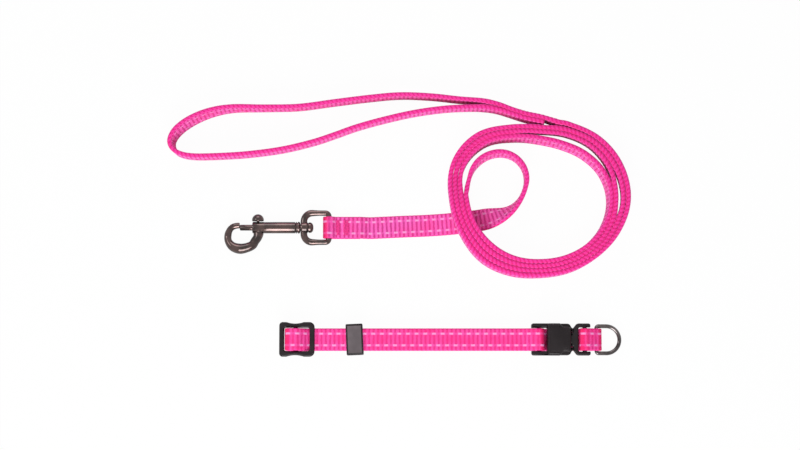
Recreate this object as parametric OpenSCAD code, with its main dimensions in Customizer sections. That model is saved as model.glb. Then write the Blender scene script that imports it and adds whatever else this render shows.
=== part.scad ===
// Walking set for a small dog: a webbing leash with a swivel bolt snap, and the matching
// adjustable collar with a side-release buckle. Millimetres, +Z up.
// The set lies on a flat surface at z = 0. The snap points to -X, the hand loop lies at the
// back, the wound turns of the leash at +X, and the collar lies in front, along X.

/* [Webbing] */
// Width of the webbing of leash and collar
webbing_w = 10; // [9:0.5:11]
// Thickness of the webbing
webbing_t = 1.5; // [1.3:0.1:1.7]
// Gap between layers of webbing that lie on each other
layer_gap = 0.1; // [0.05:0.05:0.2]
// Gap between hardware and the webbing that wraps it
wrap_gap = 0.05; // [0.02:0.01:0.1]
// Side clearance of the webbing in its hardware
side_gap = 0.4; // [0.2:0.1:0.8]

/* [Swivel eye] */
// Diameter of the wire of the eye
eye_wire = 2.5; // [2.2:0.1:2.8]
// Outer length of the eye, along the leash
eye_len = 14.2; // [13.5:0.1:17]
// Length of the boss that turns on the rivet
eye_boss_len = 3.6; // [3:0.1:4]
// Diameter of the boss
eye_boss_d = 5.2; // [4.8:0.1:5.6]
// Diameter of the rivet's shank in the boss
shank_d = 2.4; // [2:0.1:3]
// Diameter of the rivet's head inside the eye
rivet_head_d = 4.8; // [4:0.1:5.2]
// Length of the rivet's head
rivet_head_len = 2.3; // [1.6:0.1:2.6]
// Running clearance of the turning and sliding metal parts, on the radius
run_gap = 0.05; // [0.02:0.01:0.08]

/* [Bolt snap] */
// Outer diameter of the barrel
barrel_d = 5.2; // [5:0.1:5.5]
// Length of the barrel
barrel_len = 19.5; // [18.5:0.5:24]
// Diameter of the bore that holds the spring
bore_d = 3.7; // [3.5:0.1:3.9]
// Length of the flange behind the barrel
flange_len = 2.2; // [1.5:0.1:3]
// Diameter of the flange
flange_d = 5.5; // [5:0.1:5.5]
// Diameter of the sliding bolt
bolt_d = 2.7; // [2.4:0.1:2.9]
// Travel of the sliding bolt
bolt_travel = 6; // [5:0.1:6.4]
// Diameter of the thumb knob
knob_d = 5.4; // [4.8:0.1:5.5]
// Height of the rim under the thumb knob's dome
knob_rim = 0.6; // [0.4:0.1:1.2]
// Diameter of the knob's stem
stem_d = 1.4; // [1.2:0.1:1.6]
// Reach of the hook beyond the barrel
hook_len = 11.1; // [10.8:0.1:13]
// Depth of the hook beside the barrel's axis
hook_depth = 9.6; // [9:0.1:11]
// Wire diameter of the bolt spring
spring_wire = 0.4; // [0.3:0.05:0.5]
// Turns of the bolt spring
spring_turns = 8; // [6:1:10]

/* [Collar] */
// Length of the flattened collar, from the tri-glide's end to the D-ring's bar
collar_len = 142.8; // [130:1:170]
// Thickness of the keeper's floor and roof
keeper_t = 1.2; // [1:0.1:1.5]
// Thickness of the keeper's sides
keeper_side = 1.6; // [1.2:0.1:2]
// Length of the keeper, along the collar
keeper_len = 7.6; // [6:0.1:10]
// Distance from the tri-glide's end to the keeper
keeper_at = 30; // [28:0.5:40]
// Diameter of every bar that carries a webbing loop
bar_d = 2; // [1.8:0.1:2.2]
// Length of the tri-glide, along the collar
glide_len = 15.9; // [15:0.1:17]
// Thickness of the tri-glide's frame
glide_t = 1.6; // [1.4:0.1:2]
// Width of the tri-glide's end bars
glide_bar = 2.3; // [2:0.1:2.5]
// Width of the tri-glide's side rails
glide_rail = 2.4; // [2:0.1:2.6]

/* [Buckle] */
// Width of the side walls and ears
buckle_wall = 1.8; // [1.6:0.1:2.2]
// Length of the socket's shell
shell_len = 10.7; // [10.6:0.1:14]
// Thickness of the socket's roof and floor
shell_t = 2; // [1.6:0.1:2.2]
// Height of the socket's mouth
mouth_h = 3.2; // [3:0.1:3.6]
// Distance from the socket to the plug's frame
neck_len = 1.1; // [1:0.1:2]
// Length of the plug's frame
plug_len = 7.8; // [7:0.1:8]
// Height of the catch that holds each prong
catch_h = 1; // [0.7:0.1:1.1]

/* [D-ring] */
// Diameter of the D-ring's wire
ring_wire = 1.8; // [1.6:0.1:2]
// Reach of the D-ring from its straight bar to its bow
ring_len = 10.7; // [9:0.1:13]

/* [Hidden] */
pink = [0.94, 0.16, 0.56];
thread_pink = [0.98, 0.45, 0.72];
gunmetal = [0.33, 0.27, 0.27];
black_plastic = [0.16, 0.14, 0.15];
$fn = 48;
tiny = 0.01;
over = 1;

// ---------------------------------------------------------------- the leash's route
// Each point is [x, y, lean, lift]: where the webbing's centre line lies, how far it stands
// up from flat (90 is on its edge) and how high its lowest edge is above the surface.
over_lift = webbing_t + 0.6;
lead_points = [
    [-12.8, -1.2, 0, 0], [0, -0.6, 0, 0], [12, -0.1, 0, 0], [22, 0.6, 0, 0],
    [31, 1.6, 0, 0], [37.5, 2.5, 5, 0], [43, 3.6, 32, 0], [47.5, 5.2, 58, 0],
    [51.2, 7.6, 75, 0], [54.4, 11.2, 86, 0], [56.6, 15.8, 90, 0], [57.5, 20.6, 90, 0],
    [56.5, 25.4, 90, 0], [53.6, 29.4, 89, 0], [49.6, 31.8, 87, 0], [44.8, 32.5, 85, 0],
    [39.8, 31.3, 84, 0], [35.7, 28.6, 84, 0], [32.8, 24.8, 87, 0],
    [31.2, 20.2, 90, 0.1 * over_lift], [30.3, 15.6, 90, 0.45 * over_lift]
];
handle_points = [
    [71.5, 46.6, 90, 0], [64, 48.8, 90, 0], [57, 50.3, 90, 0], [50.5, 52.4, 90, 0],
    [45, 54.5, 90, 0], [38, 56.2, 90, 0], [27, 57.1, 90, 0], [14, 58.5, 90, 0],
    [0, 59, 90, 0], [-14, 57.8, 90, 0], [-30, 55.8, 90, 0], [-46, 53.7, 90, 0],
    [-62, 53.3, 90, 0], [-76, 53.2, 88, 0], [-86, 51.4, 85, 0], [-94.5, 47.9, 83, 0],
    [-100.8, 43.4, 82, 0], [-103.8, 38.8, 84, 0], [-103.4, 35, 87, 0], [-100.4, 32.4, 90, 0],
    [-95, 31.1, 90, 0], [-86, 31, 90, 0], [-70, 31.9, 90, 0], [-54, 34, 90, 0],
    [-40, 37.3, 90, 0], [-30, 40.6, 90, 0], [-20, 44.2, 90, 0], [-8, 47.6, 90, 0],
    [6, 50.8, 90, 0], [20, 52.8, 90, 0], [32, 53.4, 90, 0], [39.5, 53.1, 90, 0],
    [44.8, 52.2, 90, 0], [50, 50.6, 90, 0], [56.6, 48.4, 90, 0], [61, 47.5, 90, 0],
    [65.6, 46.4, 90, 0]
];
// The wound turns start at the left and run through the front, the right and the back.
// Each station is one sixteenth of a turn; slack is the room between a turn and the next.
coil_centre = [63.5, 11];
stations = 16;
coil_last = 3 * stations + 11;
first_turn = [33.4, 31.9, 30.3, 29, 28, 28.4, 29.6, 31, 31.8, 31, 28.9, 27.2, 27.6, 30.8, 36, 38];
slack = [
    [0.8, 0.8, 1.1, 0.8, 0.6, 0.5, 0.5, 0.8, 0.8, 2.1, 3.6, 3.6, 2.2, 1.6, 1.1, 0.8],
    [0.8, 0.8, 1.1, 0.8, 0.5, 0.5, 0.5, 0.8, 2, 1.4, 0.9, 0.6, 0.6, 0.8, 1.1, 0.9],
    [0.7, 0.8, 1, 0.8, 0.5, 0.5, 0.5, 0.7, 1, 1.1, 1.1, 1, 1, 1, 1, 1]
];
turn_steps = 3;
free_steps = 3;
hump_start = 160;
hump_full = 187;
hump_end = 206;
hump_clear = 238;

function total(v, n) = n == 0 ? 0 : v[n - 1] + total(v, n - 1);
function ease(v) = let (u = max(0, min(1, v))) u * u * (3 - 2 * u);
function curve(a, b, c, d, u) =
    0.5 * (2 * b + (c - a) * u + (2 * a - 5 * b + 4 * c - d) * u * u
        + (3 * b - a - 3 * c + d) * u * u * u);
function column(turn, s) = [for (j = [0:1:turn - 1]) webbing_t + slack[j][s]];
function station_r(i) =
    let (turn = floor(i / stations), s = i % stations)
    first_turn[s] + total(column(turn, s), turn);
function held(i) =
    i < 0 ? 2 * station_r(0) - station_r(1) : station_r(min(i, coil_last));
function hump(a) =
    over_lift * ease((a - hump_start) / (hump_full - hump_start))
        * (1 - ease((a - hump_end) / (hump_clear - hump_end)));
function coil_point(i, u) =
    let (a = 180 + (i + u) * 360 / stations,
        r = curve(held(i - 1), held(i), held(i + 1), held(i + 2), u))
    [coil_centre.x + r * cos(a), coil_centre.y + r * sin(a), 90, hump(a % 360)];
function smooth_route(before, points, after, steps) =
    let (all = concat([before], points, [after]))
    concat(
        [for (i = [1:1:len(points) - 1]) for (s = [0:1:steps - 1])
            curve(all[i - 1], all[i], all[i + 1], all[i + 2], s / steps)],
        [points[len(points) - 1]]
    );

coil_route = concat(
    [for (i = [0:1:coil_last - 1]) for (s = [0:1:turn_steps - 1]) coil_point(i, s / turn_steps)],
    [coil_point(coil_last, 0)]
);
coil_end = len(coil_route) - 1;
lead_route = smooth_route(
    2 * lead_points[0] - lead_points[1], concat(lead_points, [coil_route[0]]),
    coil_route[turn_steps], free_steps
);
handle_last = handle_points[len(handle_points) - 1];
handle_route = smooth_route(
    coil_route[coil_end - turn_steps], concat([coil_route[coil_end]], handle_points),
    2 * handle_last - handle_points[len(handle_points) - 2], free_steps
);

// The direction of travel at point i, level with the surface. Where two routes join, both
// take the direction of the shared neighbours.
function level(v) = let (f = [v.x, v.y]) f / norm(f);
function travel(route, i, before, after) =
    level((i < len(route) - 1 ? route[i + 1] : after) - (i > 0 ? route[i - 1] : before));

// The four corners of a band w wide and t thick at one point of its route, pushed out to the
// left of travel by aside and up along its own width by rise
function band_ring(p, f, w, t, aside, rise) =
    let (side = [-f.y, f.x],
        across = [side.x * cos(p[2]), side.y * cos(p[2]), -sin(p[2])],
        face = [side.x * sin(p[2]), side.y * sin(p[2]), cos(p[2])],
        z = max(0, p[3]) + webbing_w / 2 * abs(sin(p[2])) + webbing_t / 2 * abs(cos(p[2])),
        c = [p.x, p.y, z] + face * aside - across * rise)
    [for (k = [[1, 1], [1, -1], [-1, -1], [-1, 1]]) c + across * k.x * w / 2 + face * k.y * t / 2];

// A closed solid over a list of rings that all have the same number of points
module skin(rings) {
    n = len(rings[0]);
    last = len(rings) - 1;
    sides = [
        for (i = [0:1:last - 1]) for (j = [0:1:n - 1])
            let (k = (j + 1) % n)
            each [
                [i * n + j, i * n + k, (i + 1) * n + k],
                [i * n + j, (i + 1) * n + k, (i + 1) * n + j]
            ]
    ];
    start_cap = [for (j = [n - 1:-1:0]) j];
    end_cap = [for (j = [0:1:n - 1]) last * n + j];
    polyhedron([for (r = rings) each r], concat([start_cap], sides, [end_cap]), convexity = 10);
}

module band(route, before, after, w = webbing_w, t = webbing_t, aside = 0, rise = 0) {
    skin([
        for (i = [0:1:len(route) - 1])
            band_ring(route[i], travel(route, i, before, after), w, t, aside, rise)
    ]);
}

// A flat band seen from its edge: the outline of a strip t thick along a path in x and z
function unit(v) = v / norm(v);
function edge_normal(path, i) =
    let (a = unit(path[min(i + 1, len(path) - 1)] - path[min(i, len(path) - 2)]),
        b = unit(path[max(i, 1)] - path[max(i - 1, 0)]),
        n = unit([-(a.y + b.y), a.x + b.x]))
    n / (n * [-a.y, a.x]);
function strip(path, t) = concat(
    [for (i = [0:1:len(path) - 1]) path[i] + edge_normal(path, i) * t / 2],
    [for (i = [len(path) - 1:-1:0]) path[i] - edge_normal(path, i) * t / 2]
);
function arc(c, r, from, to, steps) =
    [for (i = [0:1:steps]) let (a = from + (to - from) * i / steps) c + r * [cos(a), sin(a)]];

// Stands a drawing in x and z up and gives it a width along y
module across_y(w) {
    translate([0, w / 2, 0])
        rotate([90, 0, 0])
            linear_extrude(w) children();
}

module rod_y(d, length) {
    rotate([90, 0, 0]) cylinder(d = d, h = length, center = true);
}

module rod_x(d, x0, x1) {
    translate([x0, 0, 0]) rotate([0, 90, 0]) cylinder(d = d, h = x1 - x0);
}

// ---------------------------------------------------------------- the snap's layout
// The snap's own frame has the eye's bar at x = 0 and the snap's axis along x.
axis_z = webbing_t + wrap_gap + eye_wire / 2;
fold_r = eye_wire / 2 + wrap_gap + webbing_t / 2;
fold_len = 19.5;
tail_len = 14;
snap_place = [lead_points[0].x - fold_len, lead_points[0].y, axis_z];
eye_w = webbing_w + 2 * side_gap + 2 * eye_wire;
corner_gap = 0.05;
eye_front_r = side_gap + eye_wire / 2 - corner_gap;
eye_rear_r = 3.8;
eye_shoulder_d = 3.2;
boss_proud = 0.1;
eye_left = eye_wire / 2 - eye_len;
boss_right = eye_left + eye_boss_len;
flange_right = eye_left - run_gap;
barrel_right = flange_right - flange_len;
barrel_left = barrel_right - barrel_len;
front_wall = 1.2;
piston_len = 2.4;
plug_depth = 3;
piston_left = barrel_left + front_wall + run_gap;
spring_left = piston_left + piston_len;
spring_right = barrel_right - plug_depth;
knob_x = piston_left + piston_len / 2;
knob_seat = barrel_d / 2 + 0.25;
slot_gap = 0.1;

// The hook from its tip to its heel: share of hook_len, share of hook_depth, half thickness
hook_shape = [
    [-0.53, 0.095, 0.9], [-0.63, 0.095, 1.35], [-0.8, 0.04, 1.4], [-0.93, -0.11, 1.45],
    [-1, -0.36, 1.65], [-0.98, -0.64, 1.7], [-0.81, -0.89, 2.1], [-0.52, -1, 2.38],
    [-0.23, -0.95, 2.2], [0, -0.83, 2.1], [0.1, -0.65, 2.05], [0.21, -0.46, 2.1],
    [0.25, -0.27, 2.3], [0.25, -0.14, 2.4]
];
hook_points = [
    for (p = hook_shape) [barrel_left + p.x * hook_len, p.y * hook_depth, p.z]
];
hook_sides = 14;
hook_steps = 3;
hook_height = 1.16;
hook_n = len(hook_points);
hook_route = smooth_route(
    2 * hook_points[0] - hook_points[1], hook_points,
    2 * hook_points[hook_n - 1] - hook_points[hook_n - 2], hook_steps
);
hook_tip_gap = 0.15;
bolt_tip = hook_points[0].x + hook_tip_gap;

function hook_ring(p, f) = [
    for (k = [0:1:hook_sides - 1])
        let (a = 360 * k / hook_sides)
        [
            p.x - f.y * p.z * cos(a), p.y + f.x * p.z * cos(a),
            -min(axis_z, p.z * hook_height) * sin(a)
        ]
];

// ---------------------------------------------------------------- the collar's layout
// The collar's own frame has the tri-glide's end at x = 0 and the surface at z = 0.
collar_place = [-54.2, -52, 0];
under_z = webbing_t + 2 * layer_gap + keeper_t;
top_z = under_z + webbing_t + layer_gap;
roof_z = top_z + webbing_t + layer_gap;
under_mid = under_z + webbing_t / 2;
top_mid = top_z + webbing_t / 2;
wrap_r = bar_d / 2 + wrap_gap + webbing_t / 2;
wrap_out = wrap_r + webbing_t / 2;
bar_z = under_mid + wrap_r;
inner_half = webbing_w / 2 + side_gap;

keeper_turn = 2.5;
keeper_edge = 0.7;

glide_z = roof_z;
glide_half = inner_half + glide_rail;
glide_bar_x = 7.3;
waist_at = 0.45;
waist_dip = 0.7;
waist_r = 11.8;
glide_over = bar_z + wrap_out + layer_gap + webbing_t / 2;
dive_x = glide_bar + 0.1 + webbing_t / 2;
turn_r = 1.4;
split_z = bar_z - 1;

ring_bar_x = collar_len;
ring_bar_z = webbing_t + wrap_gap + ring_wire / 2;
ring_wrap_r = ring_wire / 2 + wrap_gap + webbing_t / 2;
ring_side = 0.2;
ring_half = webbing_w / 2 + ring_side + ring_wire / 2;
ring_tilt = asin((ring_bar_z - ring_wire / 2) / ring_len);

plug_bar_x = ring_bar_x - 5.6;
plug_right = plug_bar_x + 2.6;
plug_left = plug_right - plug_len;
shell_right = plug_left - neck_len;
shell_left = shell_right - shell_len;
shell_z = webbing_t + layer_gap;
shell_h = mouth_h + 2 * shell_t;
mouth_z = shell_z + shell_t;
buckle_half = inner_half + buckle_wall;
socket_bar_x = shell_left - 3.5;
ear_left = socket_bar_x - 3.5;
ear_h = 3.6;
ear_r = 2;
climb_len = 10;
sewn_at = 9;

// Plan of the inside of the buckle, as distances from its centre line
window_left = shell_right - 5.5;
catch_left = window_left - 1.1;
arm_in = 3.4;
arm_out = 4.7;
barb_out = arm_out + catch_h;
pad_out = buckle_half - 0.1;
tongue_half = 1.9;
plate_half = 5.6;
slide_gap = 0.2;
press_gap = 0.5;
hinge_x = plug_left - 0.9;
hinge_y = (arm_in + arm_out) / 2;
hinge_d = arm_out - arm_in;
hinge_gap = 0.06;
shoulder_len = 1.6;
root_len = 2.4;

// ---------------------------------------------------------------- the leash
module leash_webbing_end() {
    over_mid = -fold_r + webbing_t + layer_gap;
    path = concat(
        [[tail_len, -fold_r]],
        arc([0, 0], fold_r, 270, 40, 12),
        [[2.8, over_mid + 0.22], [3.3, over_mid], [tail_len + 0.6, over_mid],
            [fold_len - 1.5, -fold_r], [fold_len, -fold_r]]
    );
    color(pink)
        translate(snap_place)
            across_y(webbing_w) polygon(strip(path, webbing_t));
}

module leash_webbing_lead() {
    color(pink)
        band(lead_route, [lead_route[0].x - 1, lead_route[1].y, 0, 0], coil_route[1]);
}

module leash_webbing_coil() {
    color(pink)
        band(coil_route, lead_route[len(lead_route) - 2], handle_route[1]);
}

module leash_webbing_handle() {
    color(pink)
        band(handle_route, coil_route[coil_end - 1], 2 * handle_last - handle_route[len(handle_route) - 2]);
}

thread = 0.5;
thread_h = 0.25;
stitch_edge = 1.5;
// The bar tacks behind the eye: where each starts and ends
snap_tacks = [[3.5, 4.9], [6.7, 8.9]];
tack_half = 3.4;

// Two bar tacks and two rows along the edges, drawn flat
module box_stitch(length) {
    width = webbing_w - 2 * stitch_edge;
    difference() {
        square([length, width], center = true);
        square([length - 2 * thread, width - 2 * thread], center = true);
    }
}

module snap_end_stitching() {
    color(thread_pink)
        translate(snap_place + [0, 0, 2 * webbing_t + layer_gap - axis_z])
            linear_extrude(thread_h)
                for (tack = snap_tacks)
                    translate([tack[0], -tack_half]) square([tack[1] - tack[0], 2 * tack_half]);
}

// The doubled webbing behind the hand loop: rows of thread on its outer face
module handle_stitching() {
    sewn = [for (i = [3:1:11]) handle_route[i]];
    out = -(webbing_t + thread_h) / 2;
    reach = webbing_w / 2 - stitch_edge;
    color(thread_pink)
        for (rise = [-reach, reach])
            band(sewn, handle_route[2], handle_route[12], thread, thread_h, out, rise);
}

// ---------------------------------------------------------------- the swivel eye
module eye_corner(x, y, r, turn) {
    translate([x, y, 0])
        rotate([0, 0, turn])
            rotate_extrude(angle = 90) translate([r, 0]) circle(d = eye_wire);
}

module swivel_eye() {
    left = eye_left + boss_proud + eye_wire / 2;
    half = eye_w / 2 - eye_wire / 2;
    color(gunmetal)
        translate(snap_place)
            difference() {
                union() {
                    rod_y(eye_wire, 2 * (half - eye_front_r));
                    translate([left, 0, 0]) rod_y(eye_wire, 2 * (half - eye_rear_r));
                    translate([eye_left + eye_shoulder_d / 2 + boss_proud / 2, 0, 0])
                        rod_y(eye_shoulder_d, eye_boss_d + 2);
                    for (s = [-1, 1])
                        translate([0, s * half, 0])
                            rod_x(eye_wire, left + eye_rear_r, -eye_front_r);
                    eye_corner(-eye_front_r, half - eye_front_r, eye_front_r, 0);
                    eye_corner(-eye_front_r, eye_front_r - half, eye_front_r, 270);
                    eye_corner(left + eye_rear_r, half - eye_rear_r, eye_rear_r, 90);
                    eye_corner(left + eye_rear_r, eye_rear_r - half, eye_rear_r, 180);
                    rod_x(eye_boss_d, eye_left, boss_right);
                }
                rod_x(shank_d + 2 * run_gap, eye_left - over, boss_right + over);
            }
}

module swivel_rivet() {
    head_left = boss_right + run_gap;
    color(gunmetal)
        translate(snap_place) {
            rod_x(bore_d - 2 * tiny, spring_right, barrel_right);
            rod_x(flange_d, barrel_right, flange_right);
            rod_x(shank_d, flange_right, head_left);
            rod_x(rivet_head_d, head_left, head_left + rivet_head_len);
        }
}

// ---------------------------------------------------------------- the bolt snap
module snap_body() {
    color(gunmetal)
        translate(snap_place)
            difference() {
                union() {
                    rod_x(barrel_d, barrel_left, barrel_right);
                    skin([
                        for (i = [0:1:len(hook_route) - 1])
                            hook_ring(
                                hook_route[i],
                                travel(hook_route, i, hook_route[0], hook_route[len(hook_route) - 1])
                            )
                    ]);
                }
                rod_x(bolt_d + 2 * run_gap, barrel_left - over, barrel_left + front_wall + over);
                rod_x(bore_d, barrel_left + front_wall, barrel_right + over);
                translate([knob_x - stem_d / 2 - slot_gap, 0, -stem_d / 2 - slot_gap])
                    cube([bolt_travel + stem_d + 2 * slot_gap, barrel_d, stem_d + 2 * slot_gap]);
            }
}

module snap_bolt() {
    color(gunmetal)
        translate(snap_place)
            difference() {
                union() {
                    rod_x(bolt_d, bolt_tip, piston_left);
                    rod_x(bore_d - 2 * run_gap, piston_left, spring_left);
                }
                translate([knob_x, 0, 0])
                    rotate([-90, 0, 0]) cylinder(d = stem_d + 2 * tiny, h = bore_d);
            }
}

module thumb_knob() {
    color(gunmetal)
        translate(snap_place + [knob_x, 0, 0]) {
            rotate([-90, 0, 0]) {
                cylinder(d = stem_d, h = knob_seat + knob_rim);
                translate([0, 0, knob_seat])
                    rotate_extrude() {
                        square([knob_d / 2, knob_rim]);
                        translate([0, knob_rim])
                            intersection() {
                                circle(d = knob_d);
                                square(knob_d);
                            }
                    }
            }
        }
}

module bolt_spring() {
    sides = 6;
    per_turn = 12;
    length = spring_right - spring_left - spring_wire;
    r = (bore_d - spring_wire) / 2 - 2 * run_gap;
    color("silver")
        translate(snap_place + [spring_left + spring_wire / 2, 0, 0])
            skin([
                for (i = [0:1:spring_turns * per_turn])
                    let (a = 360 * i / per_turn, x = length * i / (spring_turns * per_turn))
                    [for (k = [0:1:sides - 1])
                        let (b = 360 * k / sides, m = r + spring_wire / 2 * cos(b))
                        [x + spring_wire / 2 * sin(b), m * cos(a), m * sin(a)]]
            ]);
}

// ---------------------------------------------------------------- the collar's webbing
// From the slot of the tri-glide over its centre bar, along the top, round the socket's bar
// and back underneath to the sewn loop on the centre bar
module collar_webbing_loop() {
    path = concat(
        [[dive_x, split_z]],
        arc([dive_x + turn_r, glide_over - turn_r], turn_r, 180, 90, 4),
        [[glide_bar_x + 0.6, glide_over], [glide_len - glide_bar - 1, top_mid + 0.2],
            [glide_len - glide_bar - 0.4, top_mid], [socket_bar_x - climb_len, top_mid],
            [socket_bar_x - 0.6 * climb_len, top_mid + 0.3], [socket_bar_x - 2, bar_z + wrap_r - 0.15]],
        arc([socket_bar_x, bar_z], wrap_r, 90, -90, 12),
        [[glide_bar_x, under_mid]]
    );
    color(pink)
        translate(collar_place)
            difference() {
                union() {
                    across_y(webbing_w) polygon(strip(path, webbing_t));
                    translate([glide_bar_x, 0, bar_z]) rod_y(2 * (wrap_out - tiny), webbing_w);
                }
                translate([glide_bar_x, 0, bar_z])
                    rod_y(bar_d + 2 * wrap_gap, webbing_w + 2 * over);
            }
}

// From the tri-glide down to the surface, along it, up round the D-ring's bar, over the
// plug's bar and under it again
module collar_webbing_back() {
    taut = atan2(ring_bar_x - plug_bar_x, bar_z - ring_bar_z);
    path = concat(
        [[dive_x, split_z]],
        arc([dive_x + turn_r, webbing_t / 2 + turn_r], turn_r, 180, 270, 4),
        [[ring_bar_x - 1, webbing_t / 2]],
        arc([ring_bar_x, ring_bar_z], ring_wrap_r, -90, taut, 12),
        arc([plug_bar_x, bar_z], wrap_r, taut, 270, 12),
        [[plug_bar_x + 1.6, bar_z - wrap_r]]
    );
    color(pink)
        translate(collar_place)
            across_y(webbing_w) polygon(strip(path, webbing_t));
}

module tri_glide_stitching() {
    color(thread_pink)
        translate(collar_place + [glide_bar_x + sewn_at, 0, under_z - thread_h])
            linear_extrude(thread_h) box_stitch(5);
}

module d_ring_stitching() {
    color(thread_pink)
        translate(collar_place + [plug_bar_x, 0, webbing_t])
            linear_extrude(thread_h) box_stitch(4);
}

// ---------------------------------------------------------------- the collar's hardware
module rounded_plate(x0, x1, half, r) {
    hull()
        for (x = [x0 + r, x1 - r], y = [-half + r, half - r])
            translate([x, y]) circle(r = r);
}

module tri_glide() {
    right_slot = glide_len - glide_bar;
    post_t = 1.2;
    post_z = bar_z - bar_d / 2;
    color(black_plastic)
        translate(collar_place) {
            translate([0, 0, glide_z])
                linear_extrude(glide_t)
                    difference() {
                        rounded_plate(0, glide_len, glide_half, 2);
                        for (s = [-1, 1])
                            translate([waist_at * glide_len, s * (glide_half + waist_r - waist_dip)])
                                circle(r = waist_r, $fn = 4 * $fn);
                        translate([glide_bar, -inner_half])
                            square([right_slot - glide_bar, 2 * inner_half]);
                    }
            translate([glide_bar_x, 0, bar_z]) rod_y(bar_d, 2 * inner_half + 2);
            for (s = [-1, 1])
                translate([glide_bar_x - bar_d / 2, s > 0 ? inner_half : -inner_half - post_t, post_z])
                    cube([bar_d, post_t, glide_z + glide_t / 2 - post_z]);
        }
}

module strap_keeper() {
    floor_z = webbing_t + layer_gap;
    color(black_plastic)
        translate(collar_place + [keeper_at + keeper_len / 2, 0, 0])
            rotate([0, -90, keeper_turn])
                linear_extrude(keeper_len, center = true)
                    difference() {
                        rounded_plate(
                            floor_z, roof_z + keeper_t, inner_half + keeper_side, keeper_edge
                        );
                        translate([under_z - layer_gap, -inner_half])
                            square([roof_z - under_z + layer_gap, 2 * inner_half]);
                    }
}

module buckle_socket() {
    color(black_plastic)
        translate(collar_place)
            difference() {
                union() {
                    translate([0, 0, shell_z])
                        linear_extrude(shell_h) {
                            rounded_plate(shell_left, window_left, buckle_half, 0.8);
                            rounded_plate(shell_left, shell_right, plate_half, 1.2);
                        }
                    translate([0, 0, bar_z - ear_h / 2])
                        linear_extrude(ear_h)
                            difference() {
                                rounded_plate(ear_left, shell_left + 2 * over, buckle_half, ear_r);
                                translate([ear_left - over, -inner_half])
                                    square([shell_left - ear_left + over, 2 * inner_half]);
                            }
                    translate([socket_bar_x, 0, bar_z]) rod_y(bar_d, 2 * inner_half + 1);
                }
                translate([shell_left + 1.2, -arm_out - slide_gap, mouth_z])
                    cube([shell_len, 2 * (arm_out + slide_gap), mouth_h]);
                translate([shell_left + 1.2, -barb_out - slide_gap, mouth_z])
                    cube([catch_left - shell_left - 1.2, 2 * (barb_out + slide_gap), mouth_h]);
                translate([window_left, -buckle_half - over, mouth_z])
                    cube([shell_len, 2 * (buckle_half + over), mouth_h]);
            }
}

plug_z = mouth_z + slide_gap;
plug_h = mouth_h - 2 * slide_gap;

module buckle_plug() {
    color(black_plastic)
        translate(collar_place)
            difference() {
                union() {
                    translate([0, 0, plug_z])
                        linear_extrude(plug_h) {
                            difference() {
                                hull() {
                                    rounded_plate(
                                        plug_left + shoulder_len, plug_right, buckle_half, 1
                                    );
                                    translate([plug_left, -arm_out]) square([1, 2 * arm_out]);
                                }
                                translate([plug_left + root_len, -inner_half])
                                    square([plug_len, 2 * inner_half]);
                            }
                            translate([hinge_x, -arm_out]) square([plug_left + 0.5 - hinge_x, 2 * arm_out]);
                            translate([shell_left + 2.4, -tongue_half])
                                square([plug_left + 0.5 - shell_left - 2.4, 2 * tongue_half]);
                        }
                    translate([plug_bar_x, 0, bar_z]) rod_y(bar_d, 2 * inner_half + 1);
                }
                for (s = [-1, 1])
                    translate([hinge_x, s * hinge_y, plug_z - over])
                        cylinder(d = hinge_d + 2 * hinge_gap, h = plug_h + 2 * over);
            }
}

// One prong, drawn for the back side: root knuckle, arm, pad and barb
module prong() {
    tip = shell_left + 1.8;
    hook = catch_left - slide_gap;
    pad = window_left + press_gap;
    translate([hinge_x, hinge_y, plug_z]) cylinder(d = hinge_d, h = plug_h);
    translate([0, 0, plug_z])
        linear_extrude(plug_h)
            polygon([
                [hinge_x, arm_in], [tip, arm_in], [tip, arm_out - 0.3], [hook - 0.6, barb_out],
                [hook, barb_out], [hook, arm_out], [pad, arm_out], [pad, pad_out - 0.4],
                [pad + 0.4, pad_out], [pad + 3, pad_out], [pad + 3.5, pad_out - 0.2],
                [pad + 4, pad_out - 0.7], [shell_right - 0.1, arm_out + 0.6],
                [hinge_x, arm_out]
            ]);
}

module prong_back() {
    color(black_plastic) translate(collar_place) prong();
}

module prong_front() {
    color(black_plastic) translate(collar_place) mirror([0, 1, 0]) prong();
}

module d_ring() {
    corner = ring_side + ring_wire / 2 - corner_gap;
    bow = ring_half;
    color("silver")
        translate(collar_place + [ring_bar_x, 0, ring_bar_z])
            rotate([0, ring_tilt, 0]) {
                rod_y(ring_wire, 2 * (ring_half - corner));
                for (s = [-1, 1])
                    translate([0, s * ring_half, 0]) rod_x(ring_wire, corner, ring_len - bow);
                translate([corner, ring_half - corner, 0])
                    rotate([0, 0, 90])
                        rotate_extrude(angle = 90) translate([corner, 0]) circle(d = ring_wire);
                translate([corner, corner - ring_half, 0])
                    rotate([0, 0, 180])
                        rotate_extrude(angle = 90) translate([corner, 0]) circle(d = ring_wire);
                translate([ring_len - bow, 0, 0])
                    rotate([0, 0, -90])
                        rotate_extrude(angle = 180) translate([bow, 0]) circle(d = ring_wire);
            }
}

leash_webbing_end();
leash_webbing_lead();
leash_webbing_coil();
leash_webbing_handle();
snap_end_stitching();
handle_stitching();
swivel_eye();
swivel_rivet();
snap_body();
snap_bolt();
thumb_knob();
bolt_spring();
collar_webbing_loop();
collar_webbing_back();
tri_glide();
tri_glide_stitching();
strap_keeper();
buckle_socket();
buckle_plug();
prong_back();
prong_front();
d_ring();
d_ring_stitching();
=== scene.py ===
"""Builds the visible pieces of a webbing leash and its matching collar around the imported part.

The webbing is swept along the same routes as the part's own solids, with ribs, reflective
threads and selvedges. The hardware is plated metal and moulded plastic.
"""

import math

import bpy
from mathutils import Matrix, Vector, kdtree


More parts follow.
